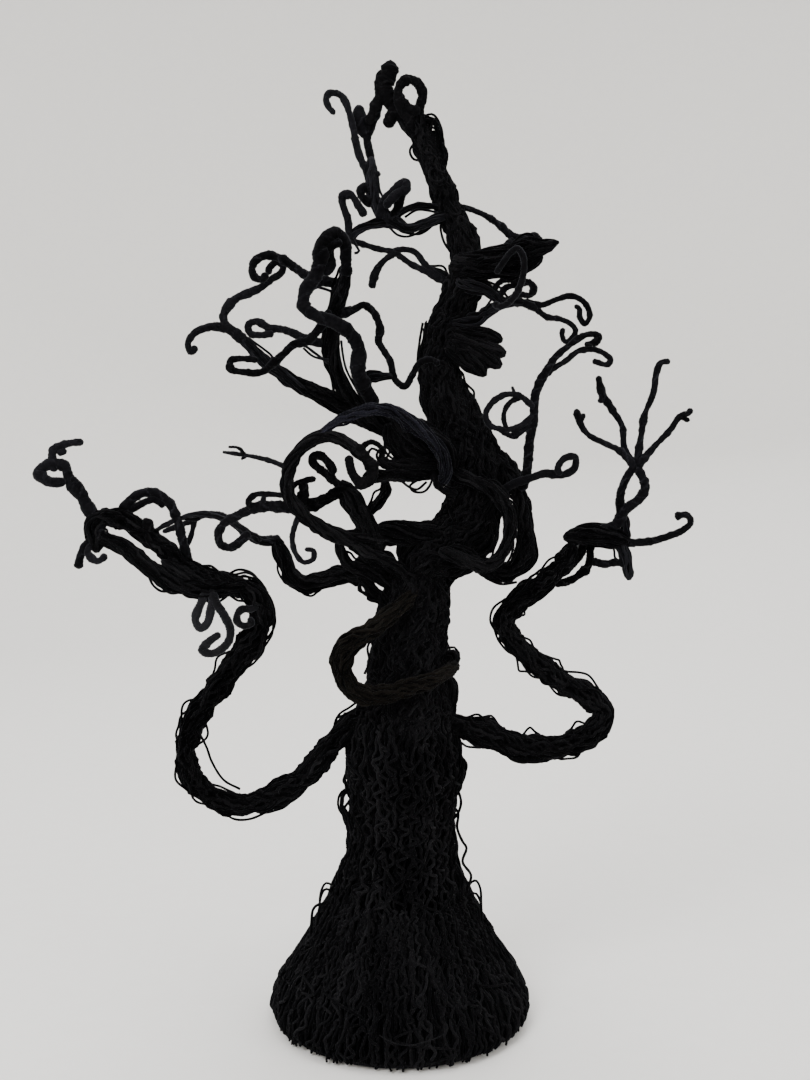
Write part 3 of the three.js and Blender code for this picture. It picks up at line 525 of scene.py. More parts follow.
LOOKS = {
    "black_yarn": yarn_material("black_yarn", (0.0002, 0.0002, 0.0003), (0.0095, 0.0094, 0.0104), 0.02),
    "wrapped_yarn": yarn_material("wrapped_yarn", (0.0005, 0.0005, 0.0006), (0.0130, 0.0130, 0.0160),
        0.05, 1.0, 0.4, 0.03),
    "warm_yarn": yarn_material("warm_yarn", (0.0004, 0.0004, 0.0003), (0.0110, 0.0096, 0.0080), 0.02),
    "navy_yarn": yarn_material("navy_yarn", (0.0004, 0.0004, 0.0007), (0.0140, 0.0140, 0.0210), 0.05,
                               3.0, 1.6, 0.03),
    # A lighter copy of the wrapped twig yarn for a front twig: its lighter colour is painted highlight.
    "painted_highlight_yarn": yarn_material("painted_highlight_yarn", (0.0008, 0.0008, 0.0009), (0.0150, 0.0150, 0.0180), 0.09,
                                1.0, 0.4, 0.03),
    # A copy of the wrapped twig yarn for the front hooks: more sheen for real fuzz, and a lighter colour
    # that is painted highlight.
    "fuzz_and_highlight_yarn": yarn_material("fuzz_and_highlight_yarn", (0.0014, 0.0014, 0.0016), (0.0220, 0.0220, 0.0260), 0.14,
                                1.0, 0.4, 0.05),
    "stitch_thread": yarn_material("stitch_thread", (0.001, 0.001, 0.001), (0.012, 0.012, 0.013), 0.03),
    "armature_wire": steel_material("armature_wire"),
    "wood": grain_material("wood", (0.26, 0.16, 0.08), (0.48, 0.33, 0.18), 40, (1, 7, 1), 0.7, 0.2 * MM),
    "cardboard": grain_material("cardboard", (0.20, 0.14, 0.09), (0.34, 0.25, 0.16), 300, (1, 1, 3),
                                0.85, 0.1 * MM),
    "cast_plaster": grain_material("cast_plaster", (0.6, 0.58, 0.54), (0.78, 0.76, 0.72), 90, (1, 1, 1),
        0.9, 0.3 * MM),
    "felt_pad": grain_material("felt_pad", (0.004, 0.004, 0.005), (0.02, 0.02, 0.024), 700, (1, 1, 1),
                               0.88, 0.3 * MM),
}


# ---- pieces -------------------------------------------------------------------------------
made = {}


def piece(node, *parts, look=None, bend=None):
    """Builds the visible piece of one CAD node from its parts. bend is given for a piece that crosses a
    joint: such a piece is not attached to any body. The body name and points in bend are not used."""
    skein = Skein(SEED + len(made))
    for build in parts:
        build(skein)
    data = skein.mesh(node + "_strands")
    slot = next(r["material_slot"] for r in frame["record"]["subparts"] if r["node"] == node)
    data.materials.append(LOOKS[look or slot])
    made_piece = bpy.data.objects.new(node + "_strands", data)
    bpy.context.scene.collection.objects.link(made_piece)
    if bend:
        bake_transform(made_piece)
    else:
        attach(made_piece, BODY_OF[node])
    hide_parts(node)
    made[node] = made_piece
    return made_piece


# ---- foot, skirt and trunk ----------------------------------------------------------------
SKIRT_OUTLINE = [
    (43, 82), (46.5, 74), (51, 66), (58, 54), (67, 40), (76, 26.5), (81.2, 16), (83, 9), (82, 4.5),
    (79.5, 1.6),
]
SKIRT_CORE = [(76.8, 1), (79, 5), (78.6, 13), (72.5, 26), (63.5, 40), (54.5, 54), (47, 66), (42.5, 77)]
TRUNK_WAIST = 184
TUBE_BORE = 20.6
SKIRT_SEGMENTS = 96
TRUNK_SEGMENTS = 64
CONE_CLEAR = 34.5
TRUNK_LEAN = ([100, 150], [0, 2.2])  # heights, and how far the trunk's middle stands to the right there


def lay_on_profile(skein, outline, count, wave, lift, samples, low_end=(0, 0), high_end=(0, 0),
                   tone_and_shade=(0, 1), length=30, kinks=0.5):
    """Strands that run down a turned outline, from its top to its foot, with ragged ends."""
    rng = skein.rng
    outline = np.array(outline, float)
    run = np.concatenate([[0], np.cumsum(np.linalg.norm(np.diff(outline, axis=0), axis=1))])
    t = np.linspace(0, 1, samples)
    start = rng.uniform(*high_end, (count, 1))
    end = run[-1] + rng.uniform(*low_end, (count, 1))
    at = start + (end - start) * t
    r = np.interp(at, run, outline[:, 0])
    z = np.interp(at, run, outline[:, 1])
    s = run[-1] * t
    angle = 2 * math.pi * (np.arange(count)[:, None] + rng.uniform(-0.3, 0.3, (count, 1))) / count
    sway = wave * wander(rng, count, s, length) + crimp(rng, count, s, kinks)
    angle = angle + sway / np.maximum(r, LEAST_PROFILE_RADIUS)
    r = r - YARN + lift * wander(rng, count, s, length)
    lean = np.interp(z, *TRUNK_LEAN)
    lines = np.stack([lean + r * np.cos(angle), r * np.sin(angle), z], -1)
    out = np.stack([np.cos(angle), np.sin(angle), 0 * z], -1)
    radii = YARN * rng.uniform(0.85, 1.12, (count, 1)) * np.ones((1, samples))
    skein.tubes(lines, out, radii, STRAND_SIDES, rng.uniform(*tone_and_shade, count))


def skirt(skein):
    inner = [(CONE_CLEAR, 77), (CONE_CLEAR + 33.5, 14), (76.6, 12)]
    # The core gets the darkest value: painted shade between the strands.
    skein.revolve(SKIRT_CORE + inner, SKIRT_SEGMENTS, 0.0)
    # The inner layer of strands gets darker values and the top layer lighter ones: painted shade by depth.
    lay_on_profile(skein, [(r - 1.8, z) for r, z in SKIRT_OUTLINE], 190, 1.6, 0.3, 24, (-4, 0), (0, 5),
                   (0, 0.25), 60)
    lay_on_profile(skein, [(r - 0.3, z) for r, z in SKIRT_OUTLINE], 112, 2.8, 0.8, 42, (-5, 0), (0, 26),
                   (0.1, 0.8), 60, 0.8)
    lay_on_profile(skein, [(r + 0.4, z) for r, z in SKIRT_OUTLINE], 66, 4.6, 1.0, 46, (-10, 0), (12, 48),
                   (0.4, 1), 60, 1.1)
    heights = np.arange(3, 126, 3.0)
    limb = [np.stack([0 * heights, 0 * heights, heights], -1), heights - 3]
    limb += [np.tile([1.0, 0, 0], (len(heights), 1)), np.tile([0, 1.0, 0], (len(heights), 1))]
    limb.append(np.interp(heights, [z for _, z in SKIRT_OUTLINE[::-1]] + [92, 105],
                          [r for r, _ in SKIRT_OUTLINE[::-1]] + [37, 34.5]))
    hairpins(skein, *limb, 64, (70, 82), (40, 64), (1.6, 3.2))
    hairpins(skein, *limb, 30, (40, 60), (18, 34), (1.4, 2.6))
    curls(skein, *limb, 28, (2, 3.6), within=(0.15, 0.62))
    stray_loops(skein, *limb, 46, (1.0, 3.2), (12, 30))
    rng = skein.rng
    count = 110
    angle = rng.uniform(0, 2 * math.pi, count)
    t = np.linspace(0, 1, 6)
    r = 81.0 + rng.uniform(-1.5, 0.8, (count, 1)) + rng.uniform(-3.5, 0.4, (count, 1)) * t
    z = rng.uniform(4, 9, (count, 1)) * (1 - t) + 1.2 * t
    drift = angle[:, None] + rng.normal(0, 0.022, (count, 1)) * t
    lines = np.stack([r * np.cos(drift), r * np.sin(drift), z], -1)
    out = np.stack([np.cos(drift), np.sin(drift), 0 * z], -1)
    skein.tubes(lines, out, np.full((count, 6), YARN * 0.8), STRAND_SIDES, rng.uniform(0, 1, count))
    for a, rise in ((-0.28, 3), (0.08, 5), (2.95, 2), (3.35, 5), (1.5, 3), (4.3, 4), (5.2, 2), (2.2, 4),
                    (-0.9, 2)):
        top = 79 + rise
        arch = [(42, a, 68), (45, a, top - 2), (49, a + 0.02, top), (52, a + 0.04, top - 5),
                (53, a + 0.05, 66), (53, a + 0.06, 57)]
        loose([(r * math.cos(b), r * math.sin(b), z) for r, b, z in arch])(skein)


def lower_trunk(skein):
    outer = [
        (31, 202), (33, 192), (35.6, 182), (36.6, 170), (36, 158), (34.2, 146), (33, 132), (33, 118),
        (34, 104), (38, 92), (43, 80),
    ]
    core = [(TUBE_BORE, 78), (40, 78), (35, 90), (31, 104), (29.8, 120), (30, 136), (32, 152),
            (33.4, 166), (31.5, 178), (29, TRUNK_WAIST)]
    # The core gets the darkest value: painted shade between the strands.
    skein.revolve(core + [(TUBE_BORE, TRUNK_WAIST)], TRUNK_SEGMENTS, 0.0)
    spread = outer + [(47.5, 72), (54, 60), (60, 50)]
    # The inner layer of strands gets darker values and the top layer lighter ones: painted shade by depth.
    lay_on_profile(skein, [(r - 1.9, z) for r, z in outer], 92, 1.8, 0.4, 52, (-8, 0), (0, 10),
                   (0, 0.25), 40)
    lay_on_profile(skein, [(r - 0.4, z) for r, z in spread], 54, 2.8, 0.7, 76, (-34, 0), (0, 14),
                   (0.1, 0.8), 34, 0.9)
    lay_on_profile(skein, [(r + 0.9, z) for r, z in spread], 40, 3.6, 0.9, 76, (-60, 0), (0, 50),
                   (0.4, 1), 26, 1.3)
    path = np.array([(0.5, 0, z) for z in range(66, 190, 3)], float)
    s = path[:, 2] - path[0, 2]
    normals = np.tile([1.0, 0, 0], (len(path), 1))
    binormals = np.tile([0, 1.0, 0], (len(path), 1))
    path[:, 0] = np.interp(path[:, 2], *TRUNK_LEAN)
    radius = np.interp(path[:, 2], [60, 80, 92, 104, 132, 158, 186], [52, 43, 38, 34.5, 33.5, 36.5, 35])
    stray_loops(skein, path, s, normals, binormals, radius, 30, (1, 3.5), (14, 34))
    curls(skein, path, s, normals, binormals, radius, 40, (1.8, 3.6))
    sides = lambda rng, count: rng.choice([0, math.pi], (count, 1)) + rng.uniform(-0.25, 0.25,
        (count, 1))
    stray_loops(skein, path, s, normals, binormals, radius, 22, (1.5, 4.5), (12, 30), sides)
    clumps = (
        ([[-30, -8, 148], [-35.5, -8, 145], [-37, -8, 137], [-33.5, -8, 129], [-31.5, -8, 120],
          [-31, -8, 108]], 2.2),
        ([[-31, -9, 110], [-34.5, -9, 102], [-38, -9, 95], [-37, -9, 85], [-35.5, -9, 76]], 2.8),
        ([[33, -8, 176], [37, -7, 168], [38.5, -6, 158], [37, -5, 148], [33, -6, 139]], 2.6),
    )
    for points, thickness in clumps:
        bundle(points, [thickness], 0.01, 1.0, 0.2, 5, rise=(1, 3))(skein)
    chains = (
        [[31, -9, 138], [36.5, -9, 133], [36, -9, 123], [39.5, -9, 114], [42, -9, 110], [39.5, -9, 101],
         [45, -9, 92], [42.5, -9, 83], [44, -9, 76], [46, -9, 68]],
        [[31, -9, 127], [34.5, -9, 120], [35.5, -9, 111], [34, -9, 102], [37.5, -9, 96], [40, -9, 89],
         [38, -9, 81], [40, -9, 73]],
        [[33, -7, 150], [37, -7, 145], [38.5, -7, 138], [36, -8, 131], [33, -8, 128]],
        [[-32, -8, 140], [-36, -8, 134], [-35, -8, 126], [-31, -8, 121]],
        [[-34, -14, 80], [-41, -14, 71.5], [-45.5, -14, 74.5], [-52, -14, 75], [-55, -14, 72],
         [-56, -14, 66], [-56.5, -14, 59], [-57, -14, 52]],
        [[-38, -14, 74], [-46, -14, 77], [-50, -14, 75], [-52, -14, 68], [-53, -14, 60]],
        [[34, -14, 80], [39, -14, 71], [41.5, -14, 75], [46, -14, 76], [49, -14, 73], [50, -14, 65],
         [53, -14, 57]],
        [[38, -12, 78], [44, -12, 79], [46, -12, 73], [48, -12, 64], [52, -12, 56]],
    )
    for points in chains:
        loose(points, 0.95)(skein)


piece("skirt_yarn", skirt)
stitch_line = [(-12, -79.6, 22.5), (-7, -81.8, 20.5), (0, -82.6, 18.2), (7, -82.4, 18), (13, -81.6, 19),
               (19, -80.4, 20.2), (24, -78.4, 21.5)]
piece("skirt_stitch", thread(stitch_line, 0.35))
piece("trunk_yarn_lower", lower_trunk)

UPPER_TRUNK = [
    [2, 0, 156], [2.5, 0, 171], [3.5, 0, 186], [4.8, 0, 201], [6.2, 0, 216], [5.6, 0, 231], [6.4, 0, 246],
    [8.6, 0, 260], [11.5, 0, 275], [15, 0, 290],
]
UPPER_TRUNK_RADII = [31, 31.5, 31.5, 30.5, 27.5, 25.2, 23.6, 22.2, 21.4, 21]
piece(
    "trunk_yarn_upper",
    bundle(UPPER_TRUNK, UPPER_TRUNK_RADII, 0.0012, 3.6, 0.03, 44, 2, (0.25, 1), (0.8, 3), 0.9, 1.1, 50),
    bundle([[24, -6, 228], [29, -6, 234], [33.5, -6, 234.5], [35.5, -6, 231], [34, -6, 227], [29, -6, 224]],
           [2.4, 2.8, 2.4], loops=3),
    bundle([[26, -10, 224], [31.5, -9, 216], [32.5, -8, 208], [30, -8, 199], [26, -8, 190]],
           [3, 4.4, 4.6, 4, 3], loops=4),
    bundle([[26, -2, 290], [31.5, -2, 282], [28, -2, 273], [26, -2, 262]], [3, 3.6, 3, 2], loops=3),
    loose([[22, -12, 262], [27, -10, 256], [29.5, -8, 250], [27, -8, 243], [29, -8, 236]]),
    loose([[-16, -10, 246], [-20.5, -8, 238], [-19.5, -8, 229], [-22.5, -8, 221]]),
)

# ---- leader and its bundles ---------------------------------------------------------------
LEADER = [
    [13, 0, 278], [18, -1, 293], [30, -2, 302], [39, -3, 312], [46, -4, 326], [48, -4, 342], [43, -3, 360],
    [35.5, -1, 378], [28, 0, 395], [24, 2, 414], [27.5, 2, 432], [34, 2, 449], [40, 2, 467], [41, 1, 481],
    [38, 0, 494], [31, 0, 508], [26, 0, 522], [20, 0, 538], [15, 0, 551], [9, 0, 563],
]
LEADER_RADII = [21, 21, 19, 18, 18.5, 18.5, 18, 16.4, 14.6, 12.8, 12, 12.2, 12.6, 11.6, 10, 9.4, 9, 8.6,
                8.2, 8, 7]
piece(
    "leader_yarn_lower",
    bundle(LEADER[:11], LEADER_RADII[:9] + [12.2, 11.6], 0.0022, 3.0, 0.05, 40, 2, (0.25, 1), slack=0.9,
           kinks=0.9, rings=45),
    bundle([[44, -3, 352], [50, -5, 340], [54, -7, 326], [55, -8, 312], [49, -10, 300], [36, -10, 290],
            [24, -8, 284]],
           [8, 9, 7.6, 7.4, 7.6, 8, 6], 0.005, 1.6, 0.1, 14, slack=0.9),
)
piece(
    "leader_yarn_upper",
    bundle(LEADER[9:], LEADER_RADII[10:16] + [8.4, 7.8, 7.4, 7, 6.4], 0.003, 2.4, 0.08, 34, 2, (0.25, 1),
           (0.8, 2.6), 0.8, 0.9, 24),
    bundle([[12, -2, 562], [17, -3, 564], [23, -3, 560], [25, -2, 552], [25, -1, 542], [24, -1, 534]],
           [2.6], loops=5),
    wound([[20, -4, 552], [25, -4, 549], [28.5, -4, 543], [27, -3, 537], [24, -2, 534]], 1.3),
    loose([[14, -2, 566], [20, -3, 567], [25, -2, 560], [26, -1, 551], [23, 0, 541]]),
    loose([[20, -3, 557], [24, -3, 554], [25.5, -3, 550], [23.5, -2, 546], [20, -2, 545]]),
    loose([[22, -3, 545.5], [27, -3, 542], [28.5, -3, 538], [26.5, -2, 533], [23, -2, 530]]),
    loose([[9, 1, 551], [6, 0, 546], [8, 0, 541], [12, 1, 540]]),
    loose([[28, -2, 507], [25, -3, 500], [27, -3, 490], [31, -2, 484]]),
    loose([[15, -2, 404], [11, -4, 414], [12, -5, 428], [14, -5, 440]]),
    loose([[14, -2, 402], [11.5, -5, 418], [14.5, -5, 431], [16, -4, 441], [17, -3, 430]]),
)
EAR_LOOP = [
    [40, -4, 369], [52, -6, 362], [65, -8, 352], [71, -12, 343], [74, -14, 332], [76.5, -15, 320],
    [77.5, -15, 307], [76, -15, 294.5], [69.5, -15, 287], [60, -16, 285.5], [50, -18, 290.5],
    [40, -20, 297], [28, -22, 300],
]
EAR_FRONT = [
    [24, -18, 350], [31, -21, 347.5], [43, -26, 343], [54, -28, 338], [61.5, -29, 331], [66, -29, 322],
    [66.5, -28, 312], [64.5, -27, 303], [60, -27, 295.5], [52, -27, 290.5], [42, -28, 293], [33, -27, 297],
    [24, -25, 300],
]
piece(
    "ear_loop_yarn",
    bundle(EAR_LOOP, [6, 6.5, 6.8, 6, 5.8, 5.6, 6.2, 6.8, 6.6, 6, 5.6, 5], 0.006, 1.8, 0.14, 30,
           slack=0.9, kinks=0.8, rise=(0.8, 2.6)),
    bundle(EAR_FRONT, [5, 4.6, 4.4, 4.8, 5, 4.6, 4.4, 4.2, 4.4, 4.4, 4.2], 0.008, 1.0, 0.1, 8),
    loose([[53, -14, 330], [57, -18, 323], [55.5, -18, 314], [58, -20, 306], [55, -20, 299]]),
    loose([[55, -16, 326], [58.5, -20, 318], [60, -20, 308], [57, -20, 300]]),
    loose([[69, -20, 314], [72, -20, 306], [71, -22, 298], [67, -22, 291]]),
    loose([[46, -20, 291], [53, -20, 283], [62, -20, 279], [72, -18, 280]]),
)
FRONT_BAND = [
    [12, -14, 275], [3, -22, 268], [-8, -28, 259.5], [-17, -31.5, 252.5], [-27, -34, 246.5],
    [-34, -35, 240], [-35.5, -35, 231.5], [-32.7, -35, 221.5], [-28.5, -36, 216], [-20, -37, 213.5],
    [-8, -36.5, 214], [3, -35, 217], [14, -32.5, 220], [24, -27, 223], [31, -19, 225.5], [34, -9, 227],
]
BAND_RADII = [4.4, 4.8, 5.2, 5.4, 6, 6.8, 7, 6.6, 6, 6, 5.8, 5.4, 5, 4.6, 4.2, 3.4]
piece(
    "front_band_yarn",
    bundle(FRONT_BAND, BAND_RADII, 0.007, 1.6, 0.1, 16, 2, (0.2, 1), (0.6, 1.8), 0.8, 0.7),
    look="warm_yarn",
)
piece(
    "right_tuft",
    bundle([[28, -2, 433], [44, -10, 431], [54, -14, 430.5], [62, -16, 428]], [6, 6.5, 5.6, 4.2],
           loops=5),
    bundle([[30, -6, 430], [46, -14, 425], [56, -18, 422], [64, -19, 419.5]], [6, 6, 5.4, 4.2], loops=5),
    bundle([[30, -8, 427], [44, -15, 421], [54, -20, 416], [61, -22, 412]], [6, 6, 5.4, 4.2], loops=5),
    bundle([[30, -8, 425], [40, -15, 418], [47, -20, 412], [51.5, -22, 406.5]], [6, 6, 5.4, 4.2],
           loops=4),
    bundle([[29, -6, 424], [35, -12, 419], [41, -17, 413]], [6, 5.4, 3.6], loops=3),
    bundle([[30, 4, 431], [46, 2, 428], [58, -2, 424]], [6, 6.4, 4], loops=4),
    bundle([[30, -2, 427], [46, -6, 420], [56, -10, 413]], [6, 6.4, 4], loops=4),
)
piece(
    "upper_right_bundle",
    bundle([[34, -4, 478], [44.5, -16, 477.5], [54, -22, 477.5], [62, -25, 478.5], [69, -29, 481.5],
            [75, -33, 483], [82, -36, 482], [93, -40, 483]], [5, 5, 5, 5, 4.6, 4, 3.4, 2.6], 0.006, 1.2,
            0.12, 8),
    bundle([[32, 0, 474], [43, -12, 473], [53, -20, 472.5], [62, -26, 473], [70, -29, 475],
            [77, -33, 477.5], [84, -36, 479.5], [91, -38, 481]], [7, 6.4, 6, 6, 6, 5, 4, 3], 0.006, 1.4,
            0.12, 12),
    bundle([[34, -2, 470], [43, -14, 470.5], [53, -22, 469], [62, -27, 468], [71, -30, 468.5],
            [78, -33, 471], [84, -35, 475.5]],
           [5.6, 5, 4.6, 4.6, 4.6, 4, 3.2], 0.006, 1.4, 0.12, 10),
    bundle([[62, -24, 476], [70, -28, 481], [76, -32, 485], [81, -34, 485.5]], [4, 4.4, 3.6, 2.6],
           loops=3),
)
piece(
    "bundle_curl_twig",
    wound([[57, -31, 466], [60.5, -35, 471], [65, -37, 477], [69, -38, 479.5], [72.5, -39, 475],
           [73, -39, 466], [71, -36, 457.5], [66.5, -30, 450.5], [61, -24, 447.5], [57, -18, 450]],
           [1.9, 2, 2, 1.9], 0.05, 3, 0),
    # Lighter yarn here: painted highlight.
    look="painted_highlight_yarn",
)
piece(
    "upper_right_twig",
    bundle([[26, -4, 440], [38, -7, 439.5], [48, -9, 442], [56, -11, 447.5], [64, -12, 451],
            [74, -12, 452]],
           [5, 5.4, 5, 4, 3.4, 2.6], loops=4),
    wound([[68, -12, 452], [80.5, -12, 451], [87, -12, 450], [95, -12, 453], [104, -12, 455.4],
           [110.2, -12, 453.6], [114.8, -12, 448.8], [116.2, -12, 442.7], [113.4, -12, 438.6],
           [110.2, -12, 442.4], [109.6, -13, 447.5], [106.5, -14, 449.4]],
          [2.6, 2, 1.8, 1.9, 1.8, 1.7, 1.5]),
    wound([[70, -14, 452.5], [79.4, -14, 449.3], [83.9, -12, 447], [90.5, -9, 443], [98.8, -5, 442.3],
           [106.5, -2, 439.2], [109.2, -1, 435.5], [106.8, -1, 430.9], [102.8, -1, 428.8],
           [100.8, -1, 432.9], [101.5, -1, 437.4]],
           [2.6, 2, 1.8, 1.7, 1.7, 1.5]),
)
piece(
    "bundle_coil_twig",
    bundle([[36, -4, 466], [44, -12, 461.5], [51.5, -15, 459.5], [57.5, -16, 455.4], [63, -16, 451.4],
            [70, -16, 450.6], [76, -15, 451.2]],
           [6, 5.6, 5, 4.4, 3.6, 3, 2.2], loops=6),
    wound([[60.5, -18, 453.7], [63.6, -20, 459], [71.4, -20, 461], [78.7, -20, 462], [81, -19, 458.5],
           [78.7, -18, 455], [73.3, -18, 455.5], [67.8, -18, 453.4], [63.6, -18, 450.5]], 1.9),
    wound([[56, -17, 456], [60, -19, 462.5], [66, -20, 464], [74, -20, 463.5], [80, -20, 463]],
          [1.9, 1.5]),
)
piece(
    "teardrop_twig",
    wound([[62, -19, 336], [70, -21, 341], [79, -23, 344], [88, -25, 347], [98, -24, 346], [106, -23, 350],
           [106, -26, 357], [99, -29, 356], [95, -31, 350], [97, -31, 346]], [2.9, 2.6, 2.4, 2.3, 2.2, 2],
           0.08, 2, 0),
)

# ---- front limbs --------------------------------------------------------------------------
FRONT_LOOP = [
    [24, -8, 311], [12, -14, 310], [-9, -20, 310], [-28, -26, 307], [-45, -34, 313], [-57, -41, 322],
    [-65.5, -46, 334], [-66, -48, 347], [-59, -47, 361], [-46.5, -44, 369], [-32, -42, 366],
    [-20, -42, 355],
]
piece(
    "front_loop_yarn",
    bundle(FRONT_LOOP, [8, 8, 8.4, 7.6, 5.6, 4.8, 4.6, 4.4, 4.2, 4.2, 4.4, 4, 3.6], 0.009, 1.0, 0.06, 5),
    wound([[-27, -42, 364], [-21, -42, 357], [-16.5, -43, 350.5], [-17, -45, 344], [-22.5, -47, 341.5],
           [-27.5, -48, 346.5], [-29.5, -49, 353], [-30, -49, 358]], [4, 3.6, 3.4, 3.2, 2.8, 2.6], 0.06,
           2.5, 0),
    bundle([[-38, -26, 306], [-36, -20, 298], [-31, -16, 291], [-22, -14, 287], [-14, -12, 283],
            [-5, -8, 277]],
           [3, 3.6, 3.8, 3.8, 4.4, 4], 0.008, 1.0, 0.12, 6),
    bundle([[9, -12, 281], [-3, -20, 290], [-12, -24, 295.5], [-20.7, -28, 299], [-31, -29, 305]],
           [5, 4.4, 4, 4.2, 4], loops=6),
    wound([[-20, -30, 356], [-22, -32, 363], [-17, -32, 366], [-11, -31, 362], [-11, -31, 356]],
          [1.8, 1.5]),
)
piece(
    "side_loop_twig",
    wound([[-60, -43, 326], [-70, -44, 327.5], [-84.8, -43, 327.3], [-95.6, -43, 322.6], [-105, -43, 317],
           [-108, -43, 311], [-106.5, -42, 304.8], [-100.5, -41, 303.2], [-94.5, -40, 307.5],
           [-89.7, -39, 312]],
           [3.8, 3.6, 3, 2.8, 2.5, 2.5, 2.4]),
    wound([[-62, -44, 333], [-76, -46, 335], [-86, -46, 334.5], [-89.5, -46, 330.5], [-88, -45, 326]],
          [1.8, 1.7]),
    wound([[-79.5, -46, 334.5], [-81, -46, 331], [-82, -45, 327]], 1.4),
    bundle([[-80, 38, 301], [-92, 30, 303], [-100, 10, 311], [-108, -10, 318], [-118, -22, 322],
            [-128, -26, 322], [-138, -27, 318], [-150, -27, 312]], [3.2, 3, 2.6, 2.4, 2.2, 1.8], loops=3),
)
piece(
    "arrow_twig",
    wound([[-62, -47, 349], [-78, -42, 355], [-92, -36, 358], [-107, -30, 360]], [1.7, 1.4, 1]),
    wound([[-92, -36, 358], [-97, -35, 362.5], [-103, -34, 363]], [1.1, 0.7]),
    wound([[-91, -36, 358], [-95, -37, 355.5]], [1, 0.6]),
)
piece(
    "hanging_hook_twig",
    wound([[-58, -42, 327], [-62, -40, 318], [-64.5, -38, 309], [-63, -37, 300], [-58, -37, 294],
           [-52, -38, 296], [-52, -39, 301], [-57, -40, 302]], [1.9, 1.7, 1.6, 1.5]),
)
piece(
    "inner_stub_limb",
    bundle([[-12, -18, 300], [-16, -22, 308], [-24.5, -28, 323], [-31, -32, 335], [-36, -33, 342]],
           [7, 7, 6.8, 6.6, 4.6],
           loops=6, kinks=0.6),
    bundle([[-21, -20, 322], [-16, -23, 326], [-11.6, -24, 331], [-8.8, -24, 336.5], [-9.2, -24, 343],
            [-5, -24, 350]],
           [3, 3.8, 3.8, 3.4, 3.2], loops=3),
    wound([[-31, -33, 336], [-35, -35, 339], [-44.9, -36, 347.4], [-51.8, -36, 353.4], [-52, -36.5, 357.4],
           [-47.9, -37, 358], [-43, -37.5, 354], [-38.5, -38, 347]], [2.9, 2.6, 2.4, 2.5, 2.6]),
    wound([[-29, -33, 339], [-34.6, -36, 338.5], [-41.8, -38, 334.3], [-49, -38, 331.3],
           [-56.8, -39, 330.3], [-65, -40, 331]],
          [2.6, 2.3, 2.2, 2.4]),
    wound([[-32, -34, 336], [-44, -37, 330.7], [-51, -38, 327], [-60, -40, 326]], [2.2, 2.2, 2.4]),
    wound([[-58, -39, 327], [-58, -38.5, 333], [-57.3, -38, 337], [-58.4, -38, 342.4]], [3, 3.2, 3, 2]),
    wound([[-65.6, -39, 335], [-63, -39, 340.4], [-58, -39, 342.6], [-50, -39, 344.2]], [1.6, 1.7, 1.6]),
)
piece(
    "spiral_limb",
    bundle([[-50, -44, 368], [-44, -44, 373], [-35, -42, 379], [-22, -42, 384], [-9, -42, 385],
            [4, -42, 379.5], [15, -40, 371], [24.5, -36, 360], [28, -32, 348], [23, -26, 340]],
            [2.6, 3.4, 4.2, 4.6, 4.6, 4.4, 4], 0.008, 1.1, 0.07, 6),
    look="navy_yarn",
)
piece(
    "spiral_coil",
    bundle([[34, -10, 352], [20, -24, 347.5], [6, -32, 346.5], [-9, -34, 345.6], [-22, -34, 345]],
           [5, 5, 4.6, 4.6, 3.6],
           0.008, 1.4, 0.1, 8),
    bundle([[36, -10, 356], [22, -24, 352], [6, -30, 351.5], [-6, -31, 352.5], [-13, -31, 356]],
           [6, 5.4, 5, 4.4, 3.4],
           0.008, 1.4, 0.1, 8),
    bundle([[30, -14, 350], [14, -22, 354], [1, -25, 361], [-4, -26, 369], [-7, -26, 377]],
           [6, 7, 7.4, 7.4, 6], loops=8),
    bundle([[34, -8, 360], [20, -22, 363], [8, -27, 368], [2, -30, 374], [-4, -32, 379]],
           [6, 7, 7, 6, 5], loops=8),
    bundle([[30, -20, 346], [32, -26, 356], [26, -31, 366], [16, -35, 373]], [4, 4, 4, 4], loops=4),
    loose([[12, -30, 344], [6, -33, 339.5], [8, -34, 336.5], [14, -33, 336], [18, -31, 340],
           [20, -28, 346]]),
    loose([[-2, -30, 346], [4, -34, 340], [10, -34, 337.5], [16, -32, 342]]),
    wound([[18, -28, 348], [20.5, -30, 345], [23, -30, 339.5], [28, -29, 336], [35, -26, 335]],
          [2.2, 2, 2.2]),
    loose([[20, -26, 346], [25, -30, 341], [31, -28, 338], [37, -24, 339]]),
    loose([[-10, -32, 351], [-14, -34, 358], [-10, -34, 363], [-6, -33, 361], [-9, -32, 355]]),
    loose([[-12, -32, 352], [-19, -34, 357], [-17, -34, 362], [-12, -33, 360]]),
    loose([[-12, -30, 349], [-20, -34, 342], [-28, -34, 345]]),
)

# ---- left limbs ---------------------------------------------------------------------------
piece(
    "back_left_yarn",
    bundle([[-2, 8, 284], [-14, 12, 283], [-36, 20, 282], [-51, 25, 277], [-63, 28, 274], [-72, 31, 280],
            [-76, 34, 290], [-83, 38, 303]], [7, 7, 6.6, 6.4, 6.8, 6.4, 5.6, 5, 4.6], 0.007, 1.2, 0.09, 12),
    bundle([[-4, -4, 292], [-16, 4, 294], [-24, 10, 290], [-34, 16, 286]], [6, 5, 4.6, 3], loops=4),
    bundle([[-26, -6, 283], [-21, -10, 278], [-16.5, -12, 273.5], [-11, -12, 269], [-7, -10, 262]],
           [3, 3.6, 3.8, 3.6, 3], loops=7),
    loose([[-24, -10, 279], [-26, -11, 275], [-21, -12, 272], [-17, -12, 269]], 1.1),
    loose([[-12.5, -14, 273], [-12, -16, 267], [-7, -16, 263], [-4, -15, 268]], 1.2),
    loose([[-19, -12, 274], [-20, -13, 269], [-14, -13, 267], [-10, -12, 263]], 1.0),
)
